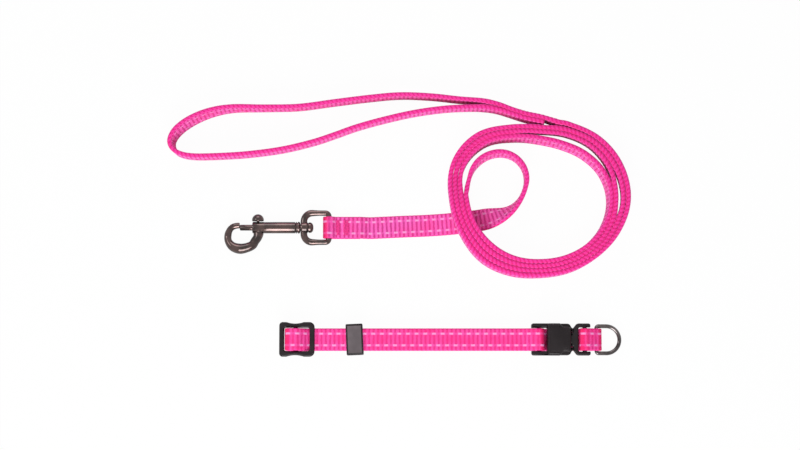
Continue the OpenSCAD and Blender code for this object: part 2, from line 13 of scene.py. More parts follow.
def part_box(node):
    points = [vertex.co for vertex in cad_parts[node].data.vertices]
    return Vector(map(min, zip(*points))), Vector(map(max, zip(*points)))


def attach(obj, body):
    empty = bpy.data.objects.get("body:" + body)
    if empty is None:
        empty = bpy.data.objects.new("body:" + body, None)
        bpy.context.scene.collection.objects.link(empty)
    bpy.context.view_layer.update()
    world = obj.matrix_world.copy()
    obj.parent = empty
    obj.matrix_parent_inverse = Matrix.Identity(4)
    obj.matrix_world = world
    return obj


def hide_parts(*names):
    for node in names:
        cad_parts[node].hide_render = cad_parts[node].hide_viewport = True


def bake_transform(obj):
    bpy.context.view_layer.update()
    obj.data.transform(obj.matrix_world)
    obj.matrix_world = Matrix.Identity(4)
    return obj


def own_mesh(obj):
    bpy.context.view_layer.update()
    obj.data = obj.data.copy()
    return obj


bl_info = {
    "name": "Leash and Collar Set",
    "version": (1, 0, 0),
    "blender": (4, 5, 0),
    "location": "View3D > Sidebar > Leash Set",
    "description": "Builds a webbing leash with a bolt snap and the matching collar",
    "category": "Object",
}

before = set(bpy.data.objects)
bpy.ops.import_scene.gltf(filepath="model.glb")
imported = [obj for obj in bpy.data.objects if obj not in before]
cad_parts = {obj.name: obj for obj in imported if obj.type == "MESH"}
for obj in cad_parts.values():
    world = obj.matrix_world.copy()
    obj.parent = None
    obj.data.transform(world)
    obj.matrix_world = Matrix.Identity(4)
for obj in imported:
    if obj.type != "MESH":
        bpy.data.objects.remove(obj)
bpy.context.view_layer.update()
MM = 0.001
TURN = 2 * math.pi


def srgb(*rgb):
    """A colour written as it looks on screen, turned into the linear values that shaders take."""
    return tuple(c / 12.92 if c <= 0.04045 else ((c + 0.055) / 1.055) ** 2.4 for c in rgb)


# ------------------------------------------------------------------ settings
def colour_setting(name, description, *rgb):
    """A colour that a user can set, written as it looks on screen."""
    return bpy.props.FloatVectorProperty(
        name=name, description=description, default=srgb(*rgb), min=0, max=1, size=3,
        subtype="COLOR",
    )


def size_setting(name, description, default, unit="LENGTH"):
    """A size that a user can set, in metres unless its unit says otherwise."""
    return bpy.props.FloatProperty(name=name, description=description, default=default, unit=unit)


class WebbingSettings(bpy.types.PropertyGroup):
    """Sizes and colours of the woven webbing of leash and collar."""

    width: size_setting("Width", "Width of the webbing", 0.010)
    thickness: size_setting("Thickness", "Thickness over the ribs", 0.0015)
    edge_fullness: size_setting(
        "Edge fullness", "How far the faces swell where the strap stands on edge", 0.00023
    )
    rib_pitch: size_setting("Rib pitch", "Distance between two ribs", 0.00195)
    rib_depth: size_setting("Rib depth", "Depth between two ribs", 0.00017)
    dash_pitch: size_setting(
        "Dash pitch", "Distance between two reflective floats of one row", 0.0039
    )
    dash_offset: size_setting(
        "Dash row offset", "Distance of each reflective row from the middle", 0.0026
    )
    crest: colour_setting("Rib colour", "Colour on top of the ribs", 1.0, 0.42, 0.79)
    valley: colour_setting("Rib shade", "Colour between the ribs", 0.80, 0.24, 0.57)
    ground: colour_setting("Yarn colour", "Colour of the ground yarn", 1.0, 0.12, 0.50)
    edge: colour_setting("Selvedge colour", "Colour of the woven edges", 1.0, 0.23, 0.65)
    edge_shade: colour_setting(
        "Selvedge shade", "Colour between the stitches of the woven edges", 0.92, 0.13, 0.53
    )
    # painted shade: the selvedge takes this colour where two strands touch, standing in for the
    # shade in the narrow gap between them
    painted_touch_shade: colour_setting(
        "Groove", "Shade of the selvedge where two strands touch", 0.92, 0.03, 0.46
    )
    # partly real and partly painted shade: the opened weave shows deep yarn, and the faces that
    # turn steeply sideways on a tight fold are painted darker
    bent_yarn_and_shade: colour_setting("Bent", "Colour where the webbing bends tightly", 0.97, 0.06, 0.38)
    sealed: colour_setting("Sealed end", "Colour of the melted cut ends", 0.55, 0.04, 0.26)
    reflective: colour_setting(
        "Reflective colour", "Colour of the reflective threads", 1.0, 0.66, 0.88
    )


class HardwareSettings(bpy.types.PropertyGroup):
    """Colours of the metal and plastic pieces."""

    gunmetal: colour_setting(
        "Snap plating", "Colour of the snap's dark plating", 0.36, 0.275, 0.26
    )
    nickel: colour_setting("Ring plating", "Colour of the D-ring's plating", 0.38, 0.345, 0.345)
    plastic: colour_setting("Plastic", "Colour of the moulded plastic", 0.10, 0.075, 0.085)
    # painted light: the keeper's top is given a lighter colour than its sides, standing in for the
    # light its top face reflects
    painted_lit_keeper_top: colour_setting(
        "Keeper top", "Colour of the keeper's matt top", 0.375, 0.345, 0.357
    )


class StageSettings(bpy.types.PropertyGroup):
    """Camera and light."""

    azimuth: size_setting("Azimuth", "Turn of the camera round the set", 0.0, "ROTATION")
    elevation: size_setting(
        "Elevation", "Height of the camera above the horizon", math.radians(84), "ROTATION"
    )
    distance: size_setting("Distance", "Distance from the camera to the middle of the set", 0.75)
    lens: size_setting("Lens", "Focal length in millimetres", 74.3, "CAMERA")
    soft_light: size_setting("Soft light", "Strength of the light from all round", 0.42, "NONE")
    front_light: size_setting("Front light", "Power of the softbox in front", 3.1, "POWER")
    side_light: size_setting("Side lights", "Power of the lights at the sides", 1.0, "POWER")


# ------------------------------------------------------------------ the leash's route
# Points along the webbing's centre line, as the part lays it: x and y in millimetres, how far
# the webbing stands up from flat in degrees (90 where it isn't given), and the height of its
# lowest edge (0 where it isn't given).
THICK = 1.5
WIDE = 10.0
LAYER_GAP = 0.1
OVER_LIFT = THICK + 0.6
LEAD_POINTS = (
    (-12.8, -1.2, 0), (0, -0.6, 0), (12, -0.1, 0), (22, 0.6, 0), (31, 1.6, 0), (37.5, 2.5, 5),
    (43, 3.6, 32), (47.5, 5.2, 58), (51.2, 7.6, 75), (54.4, 11.2, 86), (56.6, 15.8),
    (57.5, 20.6), (56.5, 25.4), (53.6, 29.4, 89), (49.6, 31.8, 87), (44.8, 32.5, 85),
    (39.8, 31.3, 84), (35.7, 28.6, 84), (32.8, 24.8, 87), (31.2, 20.2, 90, 0.1 * OVER_LIFT),
    (30.3, 15.6, 90, 0.45 * OVER_LIFT),
)
HANDLE_POINTS = (
    (71.5, 46.6), (64, 48.8), (57, 50.3), (50.5, 52.4), (45, 54.5), (38, 56.2), (27, 57.1),
    (14, 58.5), (0, 59), (-14, 57.8), (-30, 55.8), (-46, 53.7), (-62, 53.3, 89),
    (-76, 53.2, 86), (-86, 51.4, 82), (-94.5, 47.9, 79), (-100.8, 43.4, 79),
    (-103.8, 38.8, 83), (-103.4, 35, 87), (-100.4, 32.4), (-95, 31.1), (-86, 31), (-70, 31.9),
    (-54, 34), (-40, 37.3), (-30, 40.6), (-20, 44.2), (-8, 47.6), (6, 50.8), (20, 52.8),
    (32, 53.4), (39.5, 53.1), (44.8, 52.2), (50, 50.6), (56.6, 48.4), (61, 47.5), (65.6, 46.4),
)
COIL_CENTRE = (63.5, 11)
STATIONS = 16
COIL_LAST = 3 * STATIONS + 11
FIRST_TURN = (33.4, 31.9, 30.3, 29, 28, 28.4, 29.6, 31, 31.8, 31, 28.9, 27.2, 27.6, 30.8, 36, 38)
SLACK = (
    (0.8, 0.8, 1.1, 0.8, 0.6, 0.5, 0.5, 0.8, 0.8, 2.1, 3.6, 3.6, 2.2, 1.6, 1.1, 0.8),
    (0.8, 0.8, 1.1, 0.8, 0.5, 0.5, 0.5, 0.8, 2, 1.4, 0.9, 0.6, 0.6, 0.8, 1.1, 0.9),
    (0.7, 0.8, 1, 0.8, 0.5, 0.5, 0.5, 0.7, 1, 1.1, 1.1, 1, 1, 1, 1, 1),
)
# Degrees round the coil where it starts to lift over the lead, is up, starts down and is down
HUMP = (160, 187, 206, 238)
# How far each turn leans inward at its stations, in degrees: the part lays them upright
LEAN = (
    (0, 0, 0, 0, 0, 0, 0, -1, -4, -6, -7, -7, -7, -5, -2, 0),
    (0, 0, 0, 0, 0, 0, 0, 0, 0, 3, 5, 5, 5, 4, 1, 0),
    (0, 0, 0, 0, 0, 0, 0, 1, 5, 5, 5, 5, 5, 4, 1, 0),
    (0, 0, 0, 0, 0, 0, 0, 1, 5, 5, 4, 0, 0, 0, 0, 0),
)
STEPS = 8


def ease(v):
    u = max(0.0, min(1.0, v))
    return u * u * (3 - 2 * u)


def curve(a, b, c, d, u):
    """A smooth curve from b to c that heads along a to c and b to d, on numbers or points."""
    return 0.5 * (
        2 * b + (c - a) * u + (2 * a - 5 * b + 4 * c - d) * u * u
        + (3 * b - a - 3 * c + d) * u * u * u
    )


def route_point(x, y, tilt=90, lift=0):
    return Vector((x, y, tilt, lift))


def station_radius(i):
    i = min(i, COIL_LAST)
    if i < 0:
        return 2 * station_radius(0) - station_radius(1)
    turn, s = divmod(i, STATIONS)
    return FIRST_TURN[s] + sum(THICK + SLACK[j][s] for j in range(turn))


def station_lean(i):
    turn, s = divmod(max(0, min(i, COIL_LAST)), STATIONS)
    return LEAN[turn][s]


def hump(a):
    start, full, end, clear = HUMP
    return OVER_LIFT * ease((a - start) / (full - start)) * (1 - ease((a - end) / (clear - end)))


def coil_point(i, u):
    a = 180 + (i + u) * 360 / STATIONS
    r, tilt = (
        curve(*[of_station(i + k) for k in (-1, 0, 1, 2)], u)
        for of_station in (station_radius, station_lean)
    )
    x = COIL_CENTRE[0] + r * math.cos(math.radians(a))
    y = COIL_CENTRE[1] + r * math.sin(math.radians(a))
    return route_point(x, y, 90 + tilt, hump(a % 360))


def smooth_route(before, points, after):
    every = [before, *points, after]
    out = [
        curve(*every[i - 1:i + 3], s / STEPS)
        for i in range(1, len(points)) for s in range(STEPS)
    ]
    return out + [points[-1]]


class Frame:
    """One place on a strap: its centre, the direction across it and the one out of its face."""

    def __init__(self, centre, across, face):
        self.centre, self.across, self.face = centre, across.normalized(), face.normalized()

    def mix(self, other, u):
        return Frame(
            self.centre.lerp(other.centre, u), self.across.lerp(other.across, u),
            self.face.lerp(other.face, u),
        )


def route_frames(route):
    out = []
    for i, p in enumerate(route):
        a, b = route[max(i - 1, 0)], route[min(i + 1, len(route) - 1)]
        f = Vector((b[0] - a[0], b[1] - a[1])).normalized()
        side, up = Vector((-f.y, f.x, 0)), Vector((0, 0, 1))
        sin, cos = math.sin(math.radians(p[2])), math.cos(math.radians(p[2]))
        z = max(0.0, p[3]) + WIDE / 2 * abs(sin) + THICK / 2 * abs(cos)
        out.append(Frame(Vector((p[0], p[1], z)), side * cos - up * sin, side * sin + up * cos))
    return out


def path_frames(path, place):
    """Frames of a strap seen from its edge: path holds x and z, place is the path's origin."""
    out = []
    for i, (x, z) in enumerate(path):
        a, b = path[max(i - 1, 0)], path[min(i + 1, len(path) - 1)]
        t = Vector((b[0] - a[0], 0, b[1] - a[1])).normalized()
        centre = Vector((x, 0, z)) + Vector(place)
        out.append(Frame(centre, Vector((0, 1, 0)), Vector((-t.z, 0, t.x))))
    return out


def arc(centre, r, start, end, steps=24):
    angles = [math.radians(start + (end - start) * i / steps) for i in range(steps + 1)]
    return [(centre[0] + r * math.cos(a), centre[1] + r * math.sin(a)) for a in angles]


def rounded_path(path, step=0.25, rounds=4):
    """The path with points every step, and its corners softened a little."""
    dense = []
    for (x0, z0), (x1, z1) in zip(path, path[1:]):
        n = max(1, round(math.hypot(x1 - x0, z1 - z0) / step))
        dense += [(x0 + (x1 - x0) * k / n, z0 + (z1 - z0) * k / n) for k in range(n)]
    dense.append(path[-1])
    for _ in range(rounds):
        inner = [
            tuple((a[k] + 2 * b[k] + c[k]) / 4 for k in (0, 1))
            for a, b, c in zip(dense, dense[1:], dense[2:])
        ]
        dense = [dense[0], *inner, dense[-1]]
    return dense


# The snap's own frame has the eye's bar at x = 0; the collar's has the tri-glide's end there.
SNAP_PLACE = (-32.3, -1.2, 2.8)
COLLAR_PLACE = (-54.2, -52, 0)
FOLD_R = 2.05
TAIL = 14.0
FOLD = 19.5


def handle_route():
    last, before = coil_point(COIL_LAST, 0), coil_point(COIL_LAST - 1, 0)
    handle = [last, *[route_point(*p) for p in HANDLE_POINTS]]
    return smooth_route(before, handle, 2 * handle[-1] - handle[-2])


def leash_frames():
    over = -FOLD_R + THICK + LAYER_GAP
    fold = [
        (TAIL, -FOLD_R), *arc((0, 0), FOLD_R, 270, 40), (2.8, over + 0.22), (3.3, over),
        (TAIL + 0.6, over), (FOLD - 1.5, -FOLD_R), (FOLD, -FOLD_R),
    ]
    lead = [route_point(*p) for p in LEAD_POINTS]
    coil = [coil_point(i, s / STEPS) for i in range(COIL_LAST) for s in range(STEPS)]
    coil.append(coil_point(COIL_LAST, 0))
    lead = smooth_route(2 * lead[0] - lead[1], lead + [coil[0]], coil[STEPS])
    route = route_frames(lead[:-1] + coil[:-1] + handle_route())
    return path_frames(rounded_path(fold), SNAP_PLACE)[:-1] + route


# The collar seen from its edge, in its own frame: bars, wraps and layers
BAR_Z = 5.45
WRAP_R = 1.8
RING_WRAP_R = 1.7
UNDER_MID = 3.65
TOP_MID = 5.25
GLIDE_BAR = 7.3
GLIDE_OVER = 8.85
DIVE = (3.15, 4.45)
BEND_R = 1.4
SOCKET_BAR = 116.7
PLUG_BAR = 137.2
RING_BAR = (142.8, 2.45)


def collar_loop_frames():
    path = [
        *arc((GLIDE_BAR, BAR_Z), WRAP_R, -5, 270), (SOCKET_BAR, UNDER_MID),
        *arc((SOCKET_BAR, BAR_Z), WRAP_R, -90, 90)[1:],
        (SOCKET_BAR - 2, BAR_Z + WRAP_R - 0.15), (SOCKET_BAR - 6, TOP_MID + 0.3),
        (SOCKET_BAR - 10, TOP_MID), (13.2, TOP_MID), (12.6, TOP_MID + 0.2),
        (GLIDE_BAR + 0.6, GLIDE_OVER),
        *arc((DIVE[0] + BEND_R, GLIDE_OVER - BEND_R), BEND_R, 90, 180), DIVE,
    ]
    return path_frames(rounded_path(path), COLLAR_PLACE)


def collar_back_frames():
    taut = math.degrees(math.atan2(RING_BAR[0] - PLUG_BAR, BAR_Z - RING_BAR[1]))
    path = [
        DIVE, *arc((DIVE[0] + BEND_R, THICK / 2 + BEND_R), BEND_R, 180, 270),
        (RING_BAR[0] - 1, THICK / 2), *arc(RING_BAR, RING_WRAP_R, -90, taut),
        *arc((PLUG_BAR, BAR_Z), WRAP_R, taut, 270), (PLUG_BAR + 1.6, BAR_Z - WRAP_R),
    ]
    return path_frames(rounded_path(path), COLLAR_PLACE)


def even_frames(frames, step):
    """Frames at equal steps along the strap, each with its distance from the start."""
    marks = [0.0]
    for a, b in zip(frames, frames[1:]):
        marks.append(marks[-1] + (b.centre - a.centre).length)
    count = round(marks[-1] / step)
    out, k = [], 0
    for i in range(count + 1):
        s = marks[-1] * i / count
        while k < len(marks) - 2 and marks[k + 1] < s:
            k += 1
        gap = marks[k + 1] - marks[k]
        out.append((s, frames[k].mix(frames[k + 1], (s - marks[k]) / gap if gap else 0)))
    return out


# ------------------------------------------------------------------ materials
class Nodes:
    """Makes shader nodes for a material or a world, and plugs them into each other."""

    def __init__(self, owner):
        owner.use_nodes = True
        self.tree = owner.node_tree
        self.tree.nodes.clear()

    def add(self, kind, **settings):
        made = self.tree.nodes.new("ShaderNode" + kind)
        for name, value in settings.items():
            setattr(made, name, value)
        return made

    def plug(self, node, values):
        """Gives inputs, by name or number, another node's output, a number or a colour."""
        for key, value in values.items():
            if isinstance(value, bpy.types.NodeSocket):
                self.tree.links.new(value, node.inputs[key])
            elif isinstance(value, (int, float)):
                node.inputs[key].default_value = value
            else:
                node.inputs[key].default_value = (*value, 1)

    def maths(self, operation, *values):
        made = self.add("Math", operation=operation)
        self.plug(made, dict(enumerate(values)))
        return made.outputs[0]

    def times(self, a, b):
        return self.maths("MULTIPLY", a, b)

    def times_plus(self, a, b, c):
        return self.maths("MULTIPLY_ADD", a, b, c)

    def between(self, value, low, high, to_low=0.0, to_high=1.0):
        """Smoothly from to_low, where value is under low, to to_high, where it is over high."""
        made = self.add("MapRange", interpolation_type="SMOOTHSTEP")
        names = ("Value", "From Min", "From Max", "To Min", "To Max")
        self.plug(made, dict(zip(names, (value, low, high, to_low, to_high))))
        return made.outputs["Result"]

    def mix(self, share, a, b):
        """A colour on the way from a to b."""
        made = self.add("Mix", data_type="RGBA")
        self.plug(made, {0: share, 6: a, 7: b})
        return made.outputs[2]

    def noise(self, scale, detail):
        made = self.add("TexNoise")
        place = self.add("TexCoord").outputs["Object"]
        self.plug(made, {"Vector": place, "Scale": scale, "Detail": detail})
        return made.outputs["Fac"]

    def mark(self, name):
        """A mark that is laid on a piece's points."""
        return self.add("Attribute", attribute_name=name).outputs["Fac"]

    def waves(self, value, pitch):
        """1 on every multiple of pitch and 0 halfway between."""
        return self.times_plus(self.maths("COSINE", self.times(value, TURN / pitch)), 0.5, 0.5)

    def bump(self, height, distance, strength=1.0):
        made = self.add("Bump")
        self.plug(made, {"Strength": strength, "Distance": distance, "Height": height})
        return made.outputs["Normal"]


def fresh_material(name):
    material = bpy.data.materials.new(name)
    nodes = Nodes(material)
    shader, out = nodes.add("BsdfPrincipled"), nodes.add("OutputMaterial")
    nodes.plug(out, {"Surface": shader.outputs["BSDF"]})
    return material, nodes, shader


# The weave map holds millimetres over MAP_SCALE; the rest is in millimetres from the middle
MAP_SCALE = 10.0
WARP_PITCH = 0.45
SELVEDGE = (4.6, 4.85)
DASH_HALF = (0.3, 0.62)


def webbing_finish(nodes, look, depth):
    """Ribbed webbing, dyed to a depth. The weave map says how far across and along a place is, and
    the marks on the points where it is curled tightly (deep yarn and painted shade), sealed, on an
    edge or touched by another strand (painted shade)."""
    split = nodes.add("SeparateXYZ")
    nodes.plug(split, {0: nodes.add("UVMap", uv_map="weave").outputs["UV"]})
    across, along = (nodes.times(split.outputs[axis], MAP_SCALE) for axis in "XY")
    reach = nodes.maths("ABSOLUTE", across)
    mottle, tone, strand = nodes.noise(1500, 2), nodes.noise(120, 2), nodes.noise(520, 1)
    rib_pitch, dash_pitch = look.rib_pitch / MM, look.dash_pitch / MM
    # ribs across the strap, with a little wander
    wander = nodes.times_plus(strand, 0.5, along)
    rib = nodes.waves(nodes.maths("SUBTRACT", wander, 0.25), rib_pitch)
    uneven = nodes.times_plus(mottle, 0.5, nodes.maths("SUBTRACT", rib, 0.25))
    colour = nodes.mix(nodes.between(uneven, 0.1, 0.75), look.valley, look.crest)
    # the yarns that run along the strap
    warp = nodes.waves(across, WARP_PITCH)
    colour = nodes.mix(nodes.times(warp, 0.22), colour, look.ground)
    colour = nodes.mix(nodes.between(tone, 0.35, 0.75, depth, depth + 0.3), colour, look.ground)
    # the selvedge is tighter and redder, with slanting stitches of the edge yarn
    lean = nodes.times_plus(nodes.mark("level"), 0.6, along)
    slant = nodes.waves(nodes.times_plus(mottle, 0.9, lean), rib_pitch)
    edge_colour = nodes.mix(nodes.between(slant, 0.0, 0.7), look.edge_shade, look.edge)
    # painted shade: where two strands touch, the selvedge is darkened towards the touch shade,
    # standing in for the shade between them
    painted_touch_shade = nodes.times(nodes.mark("touch"), nodes.between(slant, 0.0, 1.0, 0.8, 0.3))
    edge_colour = nodes.mix(painted_touch_shade, edge_colour, look.painted_touch_shade)
    colour = nodes.mix(nodes.between(reach, *SELVEDGE), colour, edge_colour)
    # where the strap curls tightly round a bar its weave opens on the deep ground yarn; on the
    # faces turned steeply sideways there, this colour is also painted shade
    colour = nodes.mix(nodes.times(nodes.mark("bend"), 0.8), colour, look.bent_yarn_and_shade)
    # reflective floats in two rows, one half a step ahead of the other
    ahead = nodes.between(across, -0.1, 0.1, 0.0, dash_pitch / 2)
    steps = nodes.maths("DIVIDE", nodes.maths("ADD", along, ahead), dash_pitch)
    beat = nodes.maths("FRACT", steps)
    on, off = nodes.between(beat, 0.02, 0.12), nodes.between(beat, 0.46, 0.58, 1.0, 0.0)
    from_row = nodes.maths("SUBTRACT", reach, look.dash_offset / MM)
    row = nodes.between(nodes.maths("ABSOLUTE", from_row), *DASH_HALF, 1.0, 0.0)
    dash = nodes.times(nodes.times(on, off), row)
    colour = nodes.mix(nodes.times(row, 0.35), colour, look.crest)
    colour = nodes.mix(nodes.times(dash, 0.75), colour, look.reflective)
    colour = nodes.mix(nodes.mark("seal"), colour, look.sealed)
    height = nodes.maths("ADD", nodes.times(warp, 0.4), nodes.times_plus(mottle, 0.8, dash))
    return {
        "Base Color": colour, "Roughness": 0.7, "Specular IOR Level": 0.3,
        "Sheen Weight": 0.12, "Sheen Roughness": 0.5, "Sheen Tint": look.reflective,
        "Normal": nodes.bump(height, 0.00008),
    }


def thread_finish(nodes):
    """Sewing thread with a fine twist."""
    twist = nodes.noise(3500, 1)
    return {
        "Base Color": nodes.mix(twist, srgb(1.0, 0.14, 0.56), srgb(1.0, 0.32, 0.70)),
        "Roughness": 0.45, "Sheen Weight": 0.2, "Normal": nodes.bump(twist, 0.00005),
    }


def plated_finish(nodes, colour, rim, roughness):
    """Polished plating with duller, rougher patches that are also painted darker, standing in for
    dark reflections, and faint polishing marks.
    """
    cloud = nodes.noise(240, 3)
    # painted reflection: in the patches the plating is darkened to a quarter of its colour,
    # standing in for dark surroundings reflected in it
    dark = tuple(0.25 * c for c in colour)
    return {
        "Base Color": nodes.mix(nodes.between(cloud, 0.35, 0.7), colour, dark),
        "Metallic": 1.0, "Coat Weight": 1.0, "Coat Roughness": 0.08, "Specular Tint": rim,
        "Roughness": nodes.between(cloud, 0.3, 0.75, roughness, roughness + 0.08),
        "Normal": nodes.bump(nodes.noise(2600, 2), 0.00001, 0.4),
    }


def plastic_finish(nodes, colour, roughness, gloss):
    """Moulded plastic with a fine spark-eroded grain."""
    grain, cloud = nodes.noise(3200, 2), nodes.noise(160, 2)
    light = tuple(1.3 * c + 0.003 for c in colour)
    return {
        "Base Color": nodes.mix(nodes.between(cloud, 0.35, 0.7), colour, light),
        "Roughness": nodes.between(grain, 0.3, 0.7, roughness, roughness + 0.15),
        "Specular IOR Level": gloss, "Normal": nodes.bump(grain, 0.00002, 0.6),
    }


MATERIALS = {}


def material_of(name):
    """The finish of that name, made when it is first used."""
    if name not in MATERIALS:
        webbing, hardware = bpy.context.scene.leash_webbing, bpy.context.scene.leash_hardware
        finish, *facts = {
            "pink_webbing": (webbing_finish, webbing, 0.0),
            "collar_webbing": (webbing_finish, webbing, 0.45),
            "pink_thread": (thread_finish,),
            "gunmetal": (plated_finish, hardware.gunmetal, (0.1, 0.08, 0.08), 0.12),
            "nickel": (plated_finish, hardware.nickel, (0.2, 0.17, 0.17), 0.1),
            "spring_steel": (plated_finish, srgb(0.7, 0.7, 0.72), (0.6, 0.6, 0.6), 0.25),
            "black_plastic": (plastic_finish, hardware.plastic, 0.3, 0.25),
            "keeper_plastic": (plastic_finish, hardware.plastic, 0.4, 0.25),
            "painted_lit_keeper_top": (plastic_finish, hardware.painted_lit_keeper_top, 0.7, 0.2),
        }[name]
        MATERIALS[name], nodes, shader = fresh_material(name)
        nodes.plug(shader, finish(nodes, *facts))
    return MATERIALS[name]


# ------------------------------------------------------------------ tools
def mesh_piece(name, verts, faces):
    mesh = bpy.data.meshes.new(name)
    mesh.from_pydata(verts, [], faces)
    mesh.validate()
    piece = bpy.data.objects.new(name, mesh)
    bpy.context.collection.objects.link(piece)
    return piece


def only(*pieces):
    """Leaves object mode set and just these pieces selected, the first one active."""
    if bpy.context.object and bpy.context.object.mode != "OBJECT":
        bpy.ops.object.mode_set(mode="OBJECT")
    bpy.ops.object.select_all(action="DESELECT")
    for piece in pieces:
        piece.select_set(True)
    if pieces:
        bpy.context.view_layer.objects.active = pieces[0]


def settle(piece, angle=40):
    """Puts a piece's place in its mesh, closes its seams and turns its faces outwards."""
    only(piece)
    bpy.ops.object.transform_apply(location=True, rotation=True, scale=True)
    bpy.ops.object.mode_set(mode="EDIT")
    bpy.ops.mesh.select_all(action="SELECT")
    bpy.ops.mesh.remove_doubles(threshold=0.003 * MM)
    bpy.ops.mesh.normals_make_consistent(inside=False)
    bpy.ops.object.mode_set(mode="OBJECT")
    bpy.ops.object.shade_smooth_by_angle(angle=math.radians(angle))
    return piece


def joined(name, *pieces):
    """Joins pieces into the first one and names it."""
    only(*pieces)
    if len(pieces) > 1:
        bpy.ops.object.join()
    piece = bpy.context.object
    piece.name = piece.data.name = name
    return piece


def curve_piece(lines, closed, **settings):
    """The mesh of a curve through lines of places and radii, all in millimetres."""
    only()
    bpy.ops.curve.primitive_bezier_curve_add(location=(0, 0, 0))
    piece = bpy.context.object
    piece.data.splines.clear()
    for stations in lines:
        line = piece.data.splines.new("POLY")
        line.points.add(len(stations) - 1)
        for point, (place, radius) in zip(line.points, stations):
            point.co = (*[c * MM for c in place], 1)
            point.radius = radius
        line.use_cyclic_u = closed
    for name, value in settings.items():
        setattr(piece.data, name, value)
    only(piece)
    bpy.ops.object.convert(target="MESH")
    return bpy.context.object


def wire_piece(*lines, closed=False, sides=6):
    """Round wires, each through stations of a place and a radius."""
    return settle(curve_piece(
        lines, closed, dimensions="3D", bevel_depth=MM, bevel_resolution=sides,
        use_fill_caps=not closed,
    ))


def plate_piece(shapes, low, high, edge, sides=4, place=COLLAR_PLACE):
    """A plate between two heights with rounded rims. The shapes are the corners of its outline
    and of its holes, seen from place."""
    lines = [[((x + place[0], y + place[1], 0), 1) for x, y in rounded(s)] for s in shapes]
    piece = curve_piece(
        lines, True, dimensions="2D", fill_mode="BOTH", bevel_depth=edge * MM,
        bevel_resolution=sides, extrude=((high - low) / 2 - edge) * MM, offset=-edge * MM,
    )
    piece.location.z = (low + high) / 2 * MM
    return settle(piece)


def turned_piece(profile, centre, turn=(0, 0, 0), steps=48, ring=False):
    """A part turned on a lathe. The profile holds distance along the axis and radius; a ring's
    profile closes on itself. The axis is +Z turned by turn, through centre."""
    only()
    bpy.ops.mesh.primitive_circle_add(
        vertices=steps, radius=profile[0][1] * MM, fill_type="NOTHING" if ring else "NGON",
        location=(0, 0, profile[0][0] * MM),
    )
    piece = bpy.context.object
    bpy.ops.object.transform_apply(location=True, rotation=True, scale=True)
    bpy.ops.object.mode_set(mode="EDIT")
    bpy.ops.mesh.select_all(action="SELECT")
    path = [*profile, profile[0]] if ring else profile
    for (a0, r0), (a1, r1) in zip(path, path[1:]):
        bpy.ops.mesh.extrude_region_move(TRANSFORM_OT_translate={"value": (0, 0, (a1 - a0) * MM)})
        bpy.ops.transform.resize(value=(r1 / r0, r1 / r0, 1), center_override=(0, 0, a1 * MM))
    bpy.ops.object.mode_set(mode="OBJECT")
    piece.rotation_euler = turn
    piece.location = Vector(centre) * MM
    return settle(piece, 30)


def cut(piece, low, high):
    """Cuts a box between two corners out of a piece."""
    only()
    size = [(b - a) * MM for a, b in zip(low, high)]
    bpy.ops.mesh.primitive_cube_add(
        size=1, location=[(a + b) / 2 * MM for a, b in zip(low, high)], scale=size
    )
    box = bpy.context.object
    only(piece)
    tool = piece.modifiers.new("cut", "BOOLEAN")
    tool.operation = "DIFFERENCE"
    tool.solver = "EXACT"
    tool.object = box
    bpy.ops.object.modifier_apply(modifier=tool.name)
    bpy.data.objects.remove(box)
    return settle(piece)


def rounded(corners, steps=6):
    """The corners (x, y, rounding) of a shape as a closed line with its corners rounded."""
    out = []
    for i, (x, y, r) in enumerate(corners):
        here = Vector((x, y))
        back = Vector(corners[i - 1][:2]) - here
        ahead = Vector(corners[(i + 1) % len(corners)][:2]) - here
        half = back.angle(ahead) / 2
        reach = min(r / math.tan(half), 0.49 * back.length, 0.49 * ahead.length)
        r = reach * math.tan(half)
        if r < 0.01:
            out.append((x, y))
            continue
        middle = here + (back.normalized() + ahead.normalized()).normalized() * r / math.sin(half)
        start = here + back.normalized() * reach - middle
        swing = (math.pi - 2 * half) * (1 if back.cross(ahead) < 0 else -1)
        for k in range(steps + 1):
            sin, cos = math.sin(swing * k / steps), math.cos(swing * k / steps)
            out.append((
                middle.x + start.x * cos - start.y * sin, middle.y + start.x * sin + start.y * cos
            ))
    return out


def mirrored(points):
    """Points of the back half as they come back along the front half."""
    return [(x, -y, *rest) for x, y, *rest in reversed(points)]


def both_sides(*corners):
    """Corners of the back half, from left to right, with their mirror images in front."""
    return [*corners, *mirrored(corners)]


def seat(piece, slot, body, *nodes, finish=None):
    """Puts its finish on a piece and makes it stand for its CAD nodes. It rides on its body, or
    where that is None its place is baked into its mesh."""
    piece.data.materials.clear()
    piece.data.materials.append(material_of(finish or slot))
    if body:
        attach(piece, body)
    else:
        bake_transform(piece)
    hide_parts(*nodes)


# ------------------------------------------------------------------ webbing
# One face of the webbing's section as (share of half width, kind): the outer ribs, the two
# reflective rows and the middle ribs
FACE = (
    (-0.92, "outer"), (-0.82, "outer"), (-0.72, "outer"), (-0.62, "row"), (-0.52, "row"),
    (-0.42, "rib"), (0.0, "rib"), (0.42, "rib"), (0.52, "row"), (0.62, "row"), (0.72, "outer"),
    (0.82, "outer"), (0.92, "outer"),
)
# The whole section as (share of half width, share of half thickness, kind): a face and the
# selvedge beside it, then the other face and its selvedge
SECTION = [
    point for side in (1, -1) for point in (
        *[(side * a, side, kind) for a, kind in FACE],
        *[(side * a, side * b, "edge") for a, b in ((0.985, 0.6), (1.0, 0.0), (0.985, -0.6))],
    )
]
# Strands with less than CLOSE between each face and the middle of the gap touch, and beyond
# that they part over LET_GO. A strand looks for others within SEARCH of it that are further
# than OTHER along the strap, and its swelling is evened over EVEN places each way.
CLOSE = 0.62
LET_GO = 0.18
SEARCH = 3.4
OTHER = 15
EVEN = 5
# How far from a cut end it is melted
SEAL = 0.7


